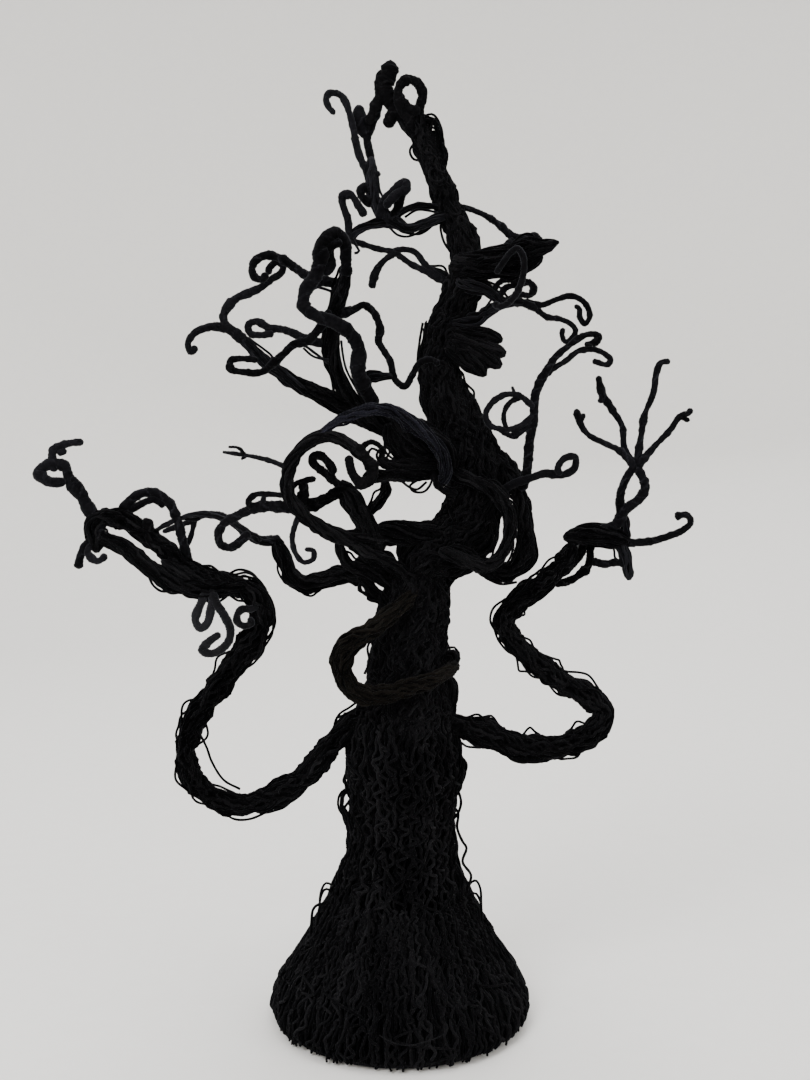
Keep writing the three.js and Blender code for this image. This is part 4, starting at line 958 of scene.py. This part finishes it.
piece(
    "back_left_twig",
    wound([[-79, 37, 303], [-94, 40, 302], [-103, 42, 307], [-112, 44, 314], [-120, 46, 318],
           [-130, 48, 319], [-142, 50, 314], [-160, 50, 307]], [3.2, 3, 2.7, 2.3, 2, 1.8]),
    wound([[-138, 50, 316], [-141, 50, 304], [-145, 50, 295]], [1.9, 1.6]),
)
piece(
    "bough_yarn",
    bundle([[26, -4, 366], [12, -9, 371], [-10, -14, 379], [-28, -17, 386], [-45, -20, 393],
            [-60, -21.8, 400]],
           [10, 9.6, 9.8, 9, 7.4, 5.8, 5], 0.006, 1.6, 0.08, 10),
)
piece(
    "upright_limb",
    bundle([[-16, -18, 378], [-23, -20, 386], [-34, -27, 398], [-40.5, -31, 413], [-41, -34, 428],
            [-38, -38, 445], [-33, -42, 460], [-31, -44, 470]], [5.6, 5, 4.4, 4.8, 5.6, 6, 5.4, 4.6, 4],
            0.007, 0.9, 0.09,
            6),
    loose([[-37, -34, 424], [-36, -37, 416], [-34, -37, 408], [-29, -32, 398], [-26, -26, 390]], 0.95),
    loose([[-35, -34, 426], [-34, -38, 418], [-32, -38, 409], [-27, -32, 399], [-22, -26, 390]], 0.8),
)
piece(
    "arch_limb",
    wound([[-31, -45, 462], [-31.5, -46, 472], [-32, -46, 481], [-36, -47, 486.5], [-41, -49, 485],
           [-45, -50, 479], [-46, -50, 471], [-49, -50, 461.5], [-55, -50, 453], [-55.5, -50, 444],
           [-49, -50, 439], [-39, -49, 435.5], [-30, -46, 430], [-24.5, -42, 421], [-25, -36, 408],
           [-21, -30, 398], [-15, -23, 388]],
          [3.4, 3.4, 3.6, 4, 4.2, 4.4, 4, 3.5, 3.6, 3.8, 3.8, 4.2, 4.8, 4.8, 4.4, 4.6], 0.08),
    wound([[-44, -49, 482], [-41.5, -48, 475], [-40.5, -48, 468], [-45, -49, 463]], [3.6, 3.2, 3.4]),
    wound([[-43, -50, 476], [-38, -50, 479.5], [-33.5, -49, 482]], [2.4, 2.2, 2.6]),
)
piece(
    "left_curl_twig",
    wound([[-38, -30, 421], [-46, -27, 425], [-55, -26, 427], [-63, -24, 431], [-71, -22, 434],
           [-79, -21, 435], [-87, -20, 439], [-92, -20, 437], [-91, -21, 432], [-86, -24, 430.5],
           [-76, -26, 431]],
           [2.6, 2.6, 2.4, 2.2, 2.1]),
)
piece(
    "top_curl_twig",
    wound([[-32, -40, 458], [-40, -36, 460], [-48, -34, 462], [-56, -32, 465], [-63, -30, 470],
           [-71, -30, 475], [-79, -30, 477], [-86, -30, 474], [-88.2, -31, 468.2], [-86, -32, 463.5],
           [-82, -33, 462.5], [-78.7, -34, 466]], [3.2, 3, 2.8, 2.5, 2.3, 2.4]),
    loose([[-34, -40, 452], [-44, -37, 456], [-52, -34, 459], [-58, -32, 464]], 0.95),
    loose([[-34, -40, 455], [-42, -38, 461], [-48, -35, 458], [-53, -34, 456]], 0.9),
)
piece(
    "front_long_loop",
    wound([[-41, -42, 443], [-46, -44, 434], [-50, -44, 429], [-54, -44, 425], [-62, -44, 423],
           [-69, -43, 417], [-76, -42, 411], [-82, -41, 407], [-92, -40, 407], [-100, -40, 409],
           [-100, -39, 414], [-91, -39, 415], [-84, -39, 414]], [2.6, 2.5, 2.4, 2.2, 2, 1.9]),
    loose([[-42, -40, 412], [-50, -42, 418], [-58, -43, 423], [-66, -43, 421]], 0.9),
    loose([[-42, -40, 414], [-51, -42, 416], [-57, -43, 421]], 0.8),
)
piece(
    "wavy_twig",
    wound([[-38, -38, 440], [-31, -31, 443], [-26, -28, 446], [-22, -27, 448], [-16, -26, 444],
           [-12, -25, 434], [-13, -24, 427], [-9, -23, 420], [-6, -22, 415], [-3, -20, 404], [3, -19, 400],
           [7, -19, 406], [12, -20, 414], [19, -20, 416], [24, -19, 413]], [2.4, 2.2, 2.1, 2]),
    bundle([[-38, -34, 442], [-32, -30, 444], [-27, -28, 445]], [4, 3.6, 2.4], loops=1),
    bundle([[-4, -21, 406], [-12, -23, 406], [-19, -25, 404], [-20, -25, 399], [-18, -22, 393]],
           [2.6, 3.4, 3.6, 3], loops=3),
)

# ---- crown --------------------------------------------------------------------------------
piece(
    "crown_left_limb",
    bundle([[36, -1, 507], [24, -5, 504], [14, -7, 499.5], [4, -8, 497], [-5, -8, 501], [-14, -8, 500],
            [-24, -9, 497], [-33, -10, 489]], [4.4, 4, 3.8, 3.6, 4, 3.8, 3.2, 3], 0.008, 0.8, 0.08, 5),
    bundle([[34, -2, 506], [24, -4, 510], [17, -5, 512], [12, -5, 512], [6, -6, 510], [0, -7, 506.5],
            [-5, -8, 502.5]],
           [3, 2.4, 2.1, 2.1, 2.3, 2.8], loops=2),
    loose([[24, -4, 507], [17, -5, 508.5], [10, -6, 508.5], [3, -7, 504]]),
    wound([[-31, -10, 488], [-32, -11, 502], [-35, -11, 511], [-35, -12, 516], [-30, -13, 516],
           [-25, -14, 509], [-21, -15, 503]], [2.6, 2.3, 2.2, 2.3, 2.4]),
    wound([[-13, -8, 502], [-9, -12, 513], [-2, -14, 520], [3, -15, 523.4], [4, -16, 519], [-1, -16, 516.5],
           [-6.7, -17, 511], [-9, -17, 507.5]], [3, 2.7, 2.8, 3]),
    wound([[3, -15, 523], [0, -14, 512], [-5, -10, 502]], [2.6, 2.4, 2.6]),
    bundle([[-6, -8, 499], [-11.5, -7, 507], [-16, -5, 516], [-17.5, -5, 526], [-17.5, -4, 536],
            [-18, -3, 541]],
           [5, 4.8, 4.8, 4.6, 4, 2.6], loops=3),
    wound([[-16.5, -6, 513], [-21, -6, 514.6], [-24, -6, 517.6], [-23.8, -6, 521.2], [-20.3, -6, 521.8],
           [-18, -6, 518.8]], [3, 2.6, 2.6], 0.1),
    wound([[-15, -6, 531], [-12, -7, 529.3]], [2.4, 1.2]),
    loose([[-30, -10, 492], [-27, -13, 486], [-25, -13, 482], [-28, -13, 481]], 0.9),
)
piece(
    "crown_tall_twig",
    wound([[-17.5, -4, 524], [-21, -4, 533.4], [-24.7, -3, 541.2], [-27.1, -3, 549.7], [-28.9, -3, 558.7],
           [-30.8, -3, 566.5], [-33.5, -3, 574.4], [-37.5, -3, 579], [-43, -3, 579.6], [-45.4, -3, 576.4],
           [-44.2, -3, 572], [-40, -3, 567]],
          [2.8, 2.4, 2.2, 2.1, 2.1, 2, 1.9]),
)
piece(
    "crown_leaf_twig",
    wound([[-17, -2, 526], [-18, 3, 541], [-20.5, 4, 555], [-18, 4, 562], [-15, 3, 570], [-12.5, 2, 576]],
          [2.4, 2.2, 2.6, 3, 2.8]),
    wound([[-21, 4, 555], [-24.5, 4, 562], [-25.5, 4, 569], [-24.6, 4, 574.5]], [2.4, 3.8, 4.2, 3.4],
          0.1),
)
piece(
    "crown_ring",
    wound([[8, -1, 558], [5, -3, 564], [0.5, -6, 570], [-1.2, -8, 577], [0.6, -8, 583.6], [5.6, -8, 586.4],
           [11, -7, 584], [13.8, -5, 578], [12, -2, 572], [9, 0, 565]],
           [4, 3.4, 3, 2.9, 2.9, 3, 3, 3.2, 3.6], 0.1),
    bundle([[12, -1, 552], [13, -2, 560], [12, -2, 568]], [5, 4.8, 4], loops=4),
    wound([[-2.5, -4, 579], [1.5, -5, 573], [6.5, -5, 569], [12.5, -5, 568.5]], [3, 3.4, 3.2], 0.1),
)
piece(
    "crown_cap",
    bundle([[14, 0, 554], [7, 0, 560], [1, 0, 566]], [6, 6, 5], 0.008, 1.2, 0.1, 3),
    wound([[5, 0, 562], [-2, 0, 571.5], [-8, 0, 579], [-9.5, 0, 586], [-7, 0, 592], [-5.5, 0, 600]],
          [4, 4.6, 5, 5.2, 5, 4.6], 0.12),
    wound([[-6, 0, 576], [-12, 0, 580], [-11.5, 0, 588], [-10.5, 0, 594.5]], [3.6, 3.6, 3.4], 0.12),
    wound([[0, 0, 574], [-3, 0, 570], [-6, 0, 565], [-8.5, 0, 560]], [4, 4.4, 4.2, 3.6], 0.1),
    wound([[-9, 0, 583], [-13, 0, 576.5], [-16, 0, 570.5], [-20, 1, 562]], [3.4, 3, 3, 2.8], 0.1),
)
piece(
    "cross_twig",
    wound([[-30, -8, 489.5], [-22, -3, 488], [-14, 0, 486], [-4, 4, 484.5], [6, 5, 478], [18, 5, 472],
           [34, 3, 463]],
          [2, 1.9, 1.9, 2, 2.2, 2.6]),
    wound([[-6, 4, 485], [2, 5, 486.5], [9, 5, 485], [16, 5, 477], [24, 5, 470]], [1.8, 2, 1.8]),
    wound([[-1, 4, 484.5], [-8, 3, 481], [-13, 3, 476], [-16, 2, 470], [-18, 2, 462]],
          [1.9, 1.9, 2.4, 2.8]),
    bundle([[16, 5, 476], [24, 5, 472], [32, 4, 467]], [2.4, 3, 3], loops=2),
)
piece(
    "crown_right_twig",
    wound([[30, 1, 513.5], [43, 3, 511], [53, 3, 507], [62, 3, 501], [70, 2, 494], [76, 2, 492.5],
           [83, 0, 493], [88, 0, 490]],
          [1.9, 1.8, 1.8, 2.4, 2.8, 2.6]),
    wound([[71, 2, 492.5], [65, -3, 487], [59, -8, 481], [54, -10, 477]], [2, 2.2]),
    wound([[76, 2, 490], [84, 0, 488], [91, -2, 485]], [2.6, 2.8, 2.2]),
)

# ---- left arm -----------------------------------------------------------------------------
LEFT_ARM = [
    [-8, -4, 204], [-19, -5, 198], [-30, -7, 190], [-42, -10, 178], [-61, -12, 156], [-87, -14, 141.5],
    [-107, -15, 140], [-126, -15, 151], [-134, -16, 170], [-128, -17, 192], [-109, -20, 220],
    [-90.5, -24, 246], [-84.5, -27, 261], [-89, -30, 274], [-103, -32, 280], [-119, -31, 285],
    [-134, -31, 294], [-148, -32, 306], [-163, -33, 318], [-182, -34, 322],
]
LEFT_RADII = [5, 7.5, 8, 8, 7.6, 7.6, 7.4, 7.6, 7.4, 7.4, 7.8, 8.2, 8.6, 8, 7, 6.4, 6, 6, 6.2, 6]
SHOULDER_LEFT = ("left_arm", (-19, -5, 201), (-43, -10, 181))
piece(
    "left_arm_yarn",
    bundle(LEFT_ARM, LEFT_RADII, 0.0035, 3.0, 0.12, 80, rise=(1.4, 5), slack=1.1),
    bundle([[-92, -32, 280], [-100, -34, 279], [-119, -38, 277], [-138, -38, 283], [-152, -37, 292],
            [-166, -36, 303], [-183, -35, 310]], [6, 6, 6, 6, 5.6, 5.4, 5], 0.005, 1.2, 0.08, 8),
    bundle([[-176, -34, 324], [-184, -34, 316], [-183, -35, 306], [-182, -35, 300]], [5, 7, 6.4, 4],
           loops=5),
    bundle([[-108, -34, 280], [-118, -37, 281], [-127, -38, 285.5], [-137, -37, 291], [-143, -36, 295]],
           [3, 4, 4.4, 4.4, 3], loops=5),
    bundle([[-163, -33, 316], [-158, -33, 314], [-152, -32, 310]], [4, 3.6, 2.4], loops=2),
    wound([[-154, -34, 320], [-151.5, -35, 317], [-149, -35, 312]], [2, 3, 2]),
    loose([[-80, -16, 137], [-94, -17, 131], [-104, -17, 131], [-112, -16, 136]]),
    loose([[-57, -12, 152], [-64, -13, 144], [-73, -14, 139], [-84, -15, 136]]),
    loose([[-126, -22, 190], [-120, -22, 178], [-117, -20, 168], [-110, -18, 156], [-100, -17, 150]]),
    loose([[-60, -12, 164], [-50, -11, 178], [-42, -10, 184]]),
    loose([[-151, -38, 286], [-147.5, -40, 280], [-142, -40, 276.5], [-137, -40, 278], [-133, -38, 283]]),
    loose([[-104, -32, 286], [-98, -32, 289], [-90, -31, 287], [-84, -30, 280]]),
    bend=SHOULDER_LEFT,
)
piece(
    "left_hand_tip",
    wound([[-179, -34, 312], [-186, -34, 324], [-191, -34, 333], [-198, -33, 342], [-202, -32, 351.5],
           [-210, -32, 353], [-217, -32, 348], [-211, -35, 342.5], [-200, -38, 342]],
           [4.6, 4.2, 3.6, 3.2, 3.4, 3.4, 3]),
    wound([[-208, -32, 348], [-208.5, -32, 361], [-203, -32, 364], [-197, -32, 365.5], [-190, -32, 366]],
          [2.7, 2.4, 2.2]),
    wound([[-206, -32, 359], [-200, -33, 361]], [2, 1.8]),
    wound([[-188, -34, 328], [-192, -35, 339], [-197, -35, 345]], [2.8, 2.2]),
)
piece(
    "left_hand_hook",
    wound([[-178, -36, 314], [-184, -37, 308], [-189, -38, 303], [-192, -38, 296], [-193, -38, 290]],
          [3, 2.6, 2.5, 2.4]),
    wound([[-180, -37, 310], [-184, -38, 306], [-186, -42, 300], [-180, -43, 295], [-175, -41, 299]],
          [2.2, 2]),
)
piece(
    "left_arch_twig",
    wound([[-176, -32, 316], [-171, -31, 321], [-160, -27, 333.5], [-150, -25, 335.5], [-141, -25, 330],
           [-135, -27, 318], [-132, -29, 307], [-127, -31, 288]], [3, 2.9, 2.9, 3, 3.2]),
    wound([[-172, -31, 316], [-166, -30, 322], [-158, -28, 328], [-150, -26, 331], [-143, -26, 327]],
          [2.2, 2.2, 2]),
)
piece(
    "left_hanging_hooks",
    wound([[-114, -35, 282], [-111, -42, 272], [-105, -44, 263], [-101, -45, 254], [-103, -45, 246],
           [-112, -45, 240], [-118, -45, 242], [-114, -45, 247], [-107, -45, 252]], [3, 2.7, 2.5, 2.4],
           0.05, 3, 0),
    wound([[-115, -35, 282], [-118, -42, 272], [-122, -44, 260], [-119, -44, 255], [-115, -44, 258],
           [-112, -42, 272]],
          [2.8, 2.5, 2.5], 0.05, 3, 0),
    wound([[-85.7, -33, 267.3], [-90.2, -35, 265.4], [-95, -35, 265.4], [-98, -35, 262.4],
           [-98.2, -35, 257.7], [-94.3, -35, 255.2], [-89.5, -35.5, 257], [-91.4, -36, 260.4]],
           [2.2, 2.1, 2], 0.05, 3, 0),
    # Lighter yarn here: real fuzz with painted highlight.
    look="fuzz_and_highlight_yarn",
)

# ---- right arm ----------------------------------------------------------------------------
RIGHT_ARM = [
    [14, -4, 193], [26, -4, 190], [38, -5, 187], [52, -5, 183], [71, -3, 175], [91, -1, 172], [109, 0, 175],
    [125, 1, 184], [130, 2, 195], [119, 4, 205], [103, 6, 214], [87, 9, 226], [73, 12, 239], [67, 14, 252],
    [74, 15, 263], [91, 17, 275], [107, 19, 290], [112, 20, 301],
]
SHOULDER_RIGHT = ("right_arm", (25, -4, 190), (51, -5, 183))
piece(
    "right_arm_yarn",
    bundle(RIGHT_ARM, [6, 8, 9, 9, 8.6, 8.2, 8.2, 8, 8, 7.6, 7.6, 7.2, 7.2, 7, 7, 7, 6], 0.0035, 3.0,
           0.12, 64,
           rise=(1.4, 5), slack=1.1),
    bundle([[106, 20, 305], [114, 20, 306], [126, 20, 307], [138, 20, 305], [148, 20, 303]],
           [5, 7, 7.6, 7, 5.4], loops=6),
    wound([[91, 17, 278], [106, 20, 276], [115, 21, 280], [122, 21, 287], [123, 20, 302]],
          [2.8, 2.6, 2.6]),
    wound([[100, 18, 282], [110, 20, 286], [117, 20, 295], [118, 20, 303]], [2.4, 2.2]),
    loose([[60, -4, 172], [74, -3, 165], [86, -2, 163], [98, -1, 166]]),
    loose([[108, 1, 170], [120, 2, 172], [129, 2, 181], [134, 3, 192]]),
    loose([[62, 14, 244], [58, 14, 252], [60, 14, 260], [68, 15, 266]]),
    loose([[78, 12, 228], [70, 12, 236], [63, 12, 240]]),
    bend=SHOULDER_RIGHT,
)
piece(
    "right_hand_twigs",
    wound([[120, 20, 302], [131, 20, 309], [140, 20, 314], [145, 20, 323], [154, 20, 330], [158, 20, 338],
           [152, 20, 352]],
          [4, 3.6, 3.2, 2.8]),
    wound([[140, 20, 312], [142, 20, 322], [142, 20, 332], [145, 20, 342], [152, 20, 353]], [2.8, 2.5]),
    wound([[152, 20, 350], [141, 18, 361], [131, 17, 366], [121, 17, 371], [115, 17, 379],
           [112.5, 17, 388]], [2.9, 2, 1.9, 2.3]),
    wound([[152, 20, 350], [145, 24, 363], [144, 27, 377], [137, 29, 389], [131, 30, 399],
           [128.5, 30, 410]], [2.9, 2, 1.9, 2.6, 2.2]),
    wound([[152, 20, 350], [155, 21, 370], [157, 20, 384], [162, 18, 398], [163.5, 16, 411], [166, 15, 417],
           [172, 15, 418]],
          [2.9, 2.1, 1.9, 2.2, 2]),
    wound([[152, 20, 350], [163, 17, 364], [172, 14, 374], [178, 12, 383], [183, 11, 385], [185, 11, 388]],
          [2.9, 2, 1.9, 2]),
    wound([[115, 17, 380], [118, 17, 385]], [1.9, 1.5]),
    wound([[131, 29.5, 399], [130, 29, 392]], [2, 1.6]),
    wound([[178, 12, 383], [184, 11, 380]], [1.8, 1.4]),
)
piece(
    "right_hand_hook",
    wound([[134, 20, 304], [147, 20, 302], [155, 20, 302], [163, 20, 303], [173, 19, 306], [182, 18, 310],
           [187, 17, 315], [184, 15, 320], [176, 14, 319]], [3.4, 2.8, 2.4, 2.2, 2]),
    bundle([[140, 20, 305], [146, 19, 292], [148, 19, 278]], [4.6, 4.4, 3.6], loops=3),
    wound([[124, 21, 290], [132, 20, 288], [140, 20, 289], [147, 19, 288]], [2.4, 2.6]),
    bundle([[146, 20, 302], [146, 20, 312], [145, 20, 320]], [3, 3, 2.4], loops=2),
)

# ---- bough end and right sprig ------------------------------------------------------------
piece(
    "outer_bough",
    bundle([[-50, -20, 395], [-58, -21, 399], [-67, -23, 404], [-81, -25, 414], [-89, -26, 422],
            [-96, -27, 429]],
           [5, 5, 4.8, 4.4, 4, 3.6], 0.008, 0.9, 0.08, 4),
    wound([[-93, -26.5, 426], [-100, -27, 432], [-104, -28, 434], [-111, -28, 435], [-117, -29, 434],
           [-123, -30, 431], [-127, -30, 425], [-125.5, -30, 420], [-121.5, -30, 423]],
           [3.4, 3, 2.6, 2.3, 2.1, 2]),
    wound([[-101, -27.5, 432], [-105, -27.5, 437], [-106, -27, 442], [-102, -26, 449], [-97, -25, 453],
           [-90, -24, 456], [-84, -23, 459], [-77.3, -22, 464.2], [-71.8, -22, 467.8], [-70.6, -22, 472],
           [-74.2, -23, 474], [-78.4, -24, 470.8], [-79, -24, 466.4]], [2.7, 2.5, 2.3, 2.1, 2]),
    bend=("bough_tip", (-59, -21.7, 399.5), (-71, -23.5, 406)),
)
piece(
    "right_twig",
    wound([[74, -17, 336], [77, -16, 344], [78.5, -15, 352], [79, -15, 360], [80, -15, 370], [82, -15, 380],
           [82.3, -15, 390], [83.2, -16, 397], [85.6, -17, 403], [89, -17, 409], [94.5, -17, 417.5],
           [103.6, -17, 425.2], [110.9, -17, 430.4], [117, -17, 431.8], [121.3, -17.5, 430],
           [119.5, -18, 427], [112.2, -18, 425.2]],
          [3.4, 3.1, 3, 2.9, 2.7, 2.3, 1.9, 1.9, 1.8]),
    wound([[83.5, -14, 396], [87.5, -13, 405], [91, -13, 409], [95.5, -13, 412.2], [102.4, -13, 416.4],
           [108.5, -13, 421.5], [116.5, -13, 423], [123.8, -13, 421.2], [129, -13.5, 416.6],
           [127, -14, 413.6], [117.8, -14, 416]],
           [2, 1.9, 1.8, 1.8, 1.7]),
    wound([[82, -17, 387], [73, -21, 394], [65, -22, 395], [57, -23, 391], [52, -23, 383], [55, -23, 376],
           [68, -20, 374], [75, -18, 377], [82, -16, 383]], [1.9, 1.8]),
    wound([[74, -20, 393], [68, -21, 391], [64, -22, 386], [63, -22, 380], [65, -21, 374]], [1.6, 1.5]),
    wound([[70, -21, 394.5], [68, -21, 400]], [1.4, 0.8]),
    wound([[60, -22, 374], [68, -20, 370], [75, -18, 373], [81, -16, 379]], [1.8, 1.6]),
    bend=("right_sprig", (76, -16.5, 341), (78, -15, 353)),
)

# ---- pieces inside, which keep their CAD shapes -------------------------------------------
for row in frame["record"]["subparts"]:
    kept = frame["nodes"][row["node"]]
    kept.data.materials.clear()
    kept.data.materials.append(LOOKS[row["material_slot"]])


# ---- stage, light and camera --------------------------------------------------------------
# Each light's name, place and target in metres, width in metres and power in watts.
LIGHTS = (
    ("key", (-0.9, -1.3, 1.7), (0, 0, 0.3), 0.8, 30),
    ("fill", (1.5, -0.9, 1.2), (0, 0, 0.3), 1.2, 8),
    ("top", (0, 0.3, 2.4), (0, 0, 0.2), 1.6, 34),
    ("back", (0.4, 1.9, 1.3), (0, 0, 0.4), 1.4, 12),
)
ROOM_COLOUR = (1, 0.99, 0.97, 1)
ROOM_STRENGTH = 0.9
CAMERA_AT = (0.003, -0.755, 0.354)
CAMERA_PITCH = math.radians(3.72)
LENS_MM = 40
SENSOR_MM = 36
FLOOR_DROP = 0.0005  # how far the floor lies under the tree's foot, in metres


def matte(name, colour):
    material, tree, shader = new_material(name)
    r, g, b = colour
    speckle = noise(tree, 60)
    link(tree, ramp(tree, speckle, (0.3, (r * 0.98, g * 0.98, b * 0.98)), (0.7, colour)),
         shader.inputs["Base Color"])
    shader.inputs["Roughness"].default_value = 0.9
    return material


def studio_floor():
    """A round pale floor that curves up into a wall on every side."""
    segments = 96
    profile = [(0, 0), (0.4, 0), (1.6, 0)]
    profile += [(1.6 + math.sin(a), 1 - math.cos(a)) for a in np.linspace(0.1, math.pi / 2, 14)]
    profile += [(2.6, 3.2)]
    points, faces = [(0, 0, -FLOOR_DROP)], []
    for r, z in profile[1:]:
        turns = [2 * math.pi * k / segments for k in range(segments)]
        points += [(r * math.cos(a), r * math.sin(a), z - FLOOR_DROP) for a in turns]
    for k in range(segments):
        faces.append((0, 1 + k, 1 + (k + 1) % segments))
    for i in range(len(profile) - 2):
        a, b = 1 + i * segments, 1 + (i + 1) * segments
        faces += [(a + k, b + k, b + (k + 1) % segments,
                   a + (k + 1) % segments) for k in range(segments)]
    data = bpy.data.meshes.new("studio_floor")
    data.from_pydata(points, [], faces)
    data.shade_smooth()
    data.materials.append(matte("pale_floor", (0.86, 0.85, 0.83)))
    floor = bpy.data.objects.new("studio_floor", data)
    bpy.context.scene.collection.objects.link(floor)


def area_light(name, place, target, size, power):
    data = bpy.data.lights.new(name, "AREA")
    data.size = size
    data.energy = power
    light = bpy.data.objects.new(name, data)
    light.location = place
    light.rotation_euler = (Vector(target) - Vector(place)).to_track_quat("-Z", "Y").to_euler()
    bpy.context.scene.collection.objects.link(light)


studio_floor()
for name, place, target, size, power in LIGHTS:
    area_light(name, place, target, size, power)
world = bpy.data.worlds.new("soft_room")
world.use_nodes = True
world.node_tree.nodes["Background"].inputs["Color"].default_value = ROOM_COLOUR
world.node_tree.nodes["Background"].inputs["Strength"].default_value = ROOM_STRENGTH
bpy.context.scene.world = world

lens = bpy.data.cameras.new("photo_camera")
lens.lens = LENS_MM
lens.sensor_width = SENSOR_MM
camera = bpy.data.objects.new("photo_camera", lens)
camera.location = CAMERA_AT
camera.rotation_euler = (math.pi / 2 - CAMERA_PITCH, 0, 0)
bpy.context.scene.collection.objects.link(camera)
bpy.context.scene.camera = camera
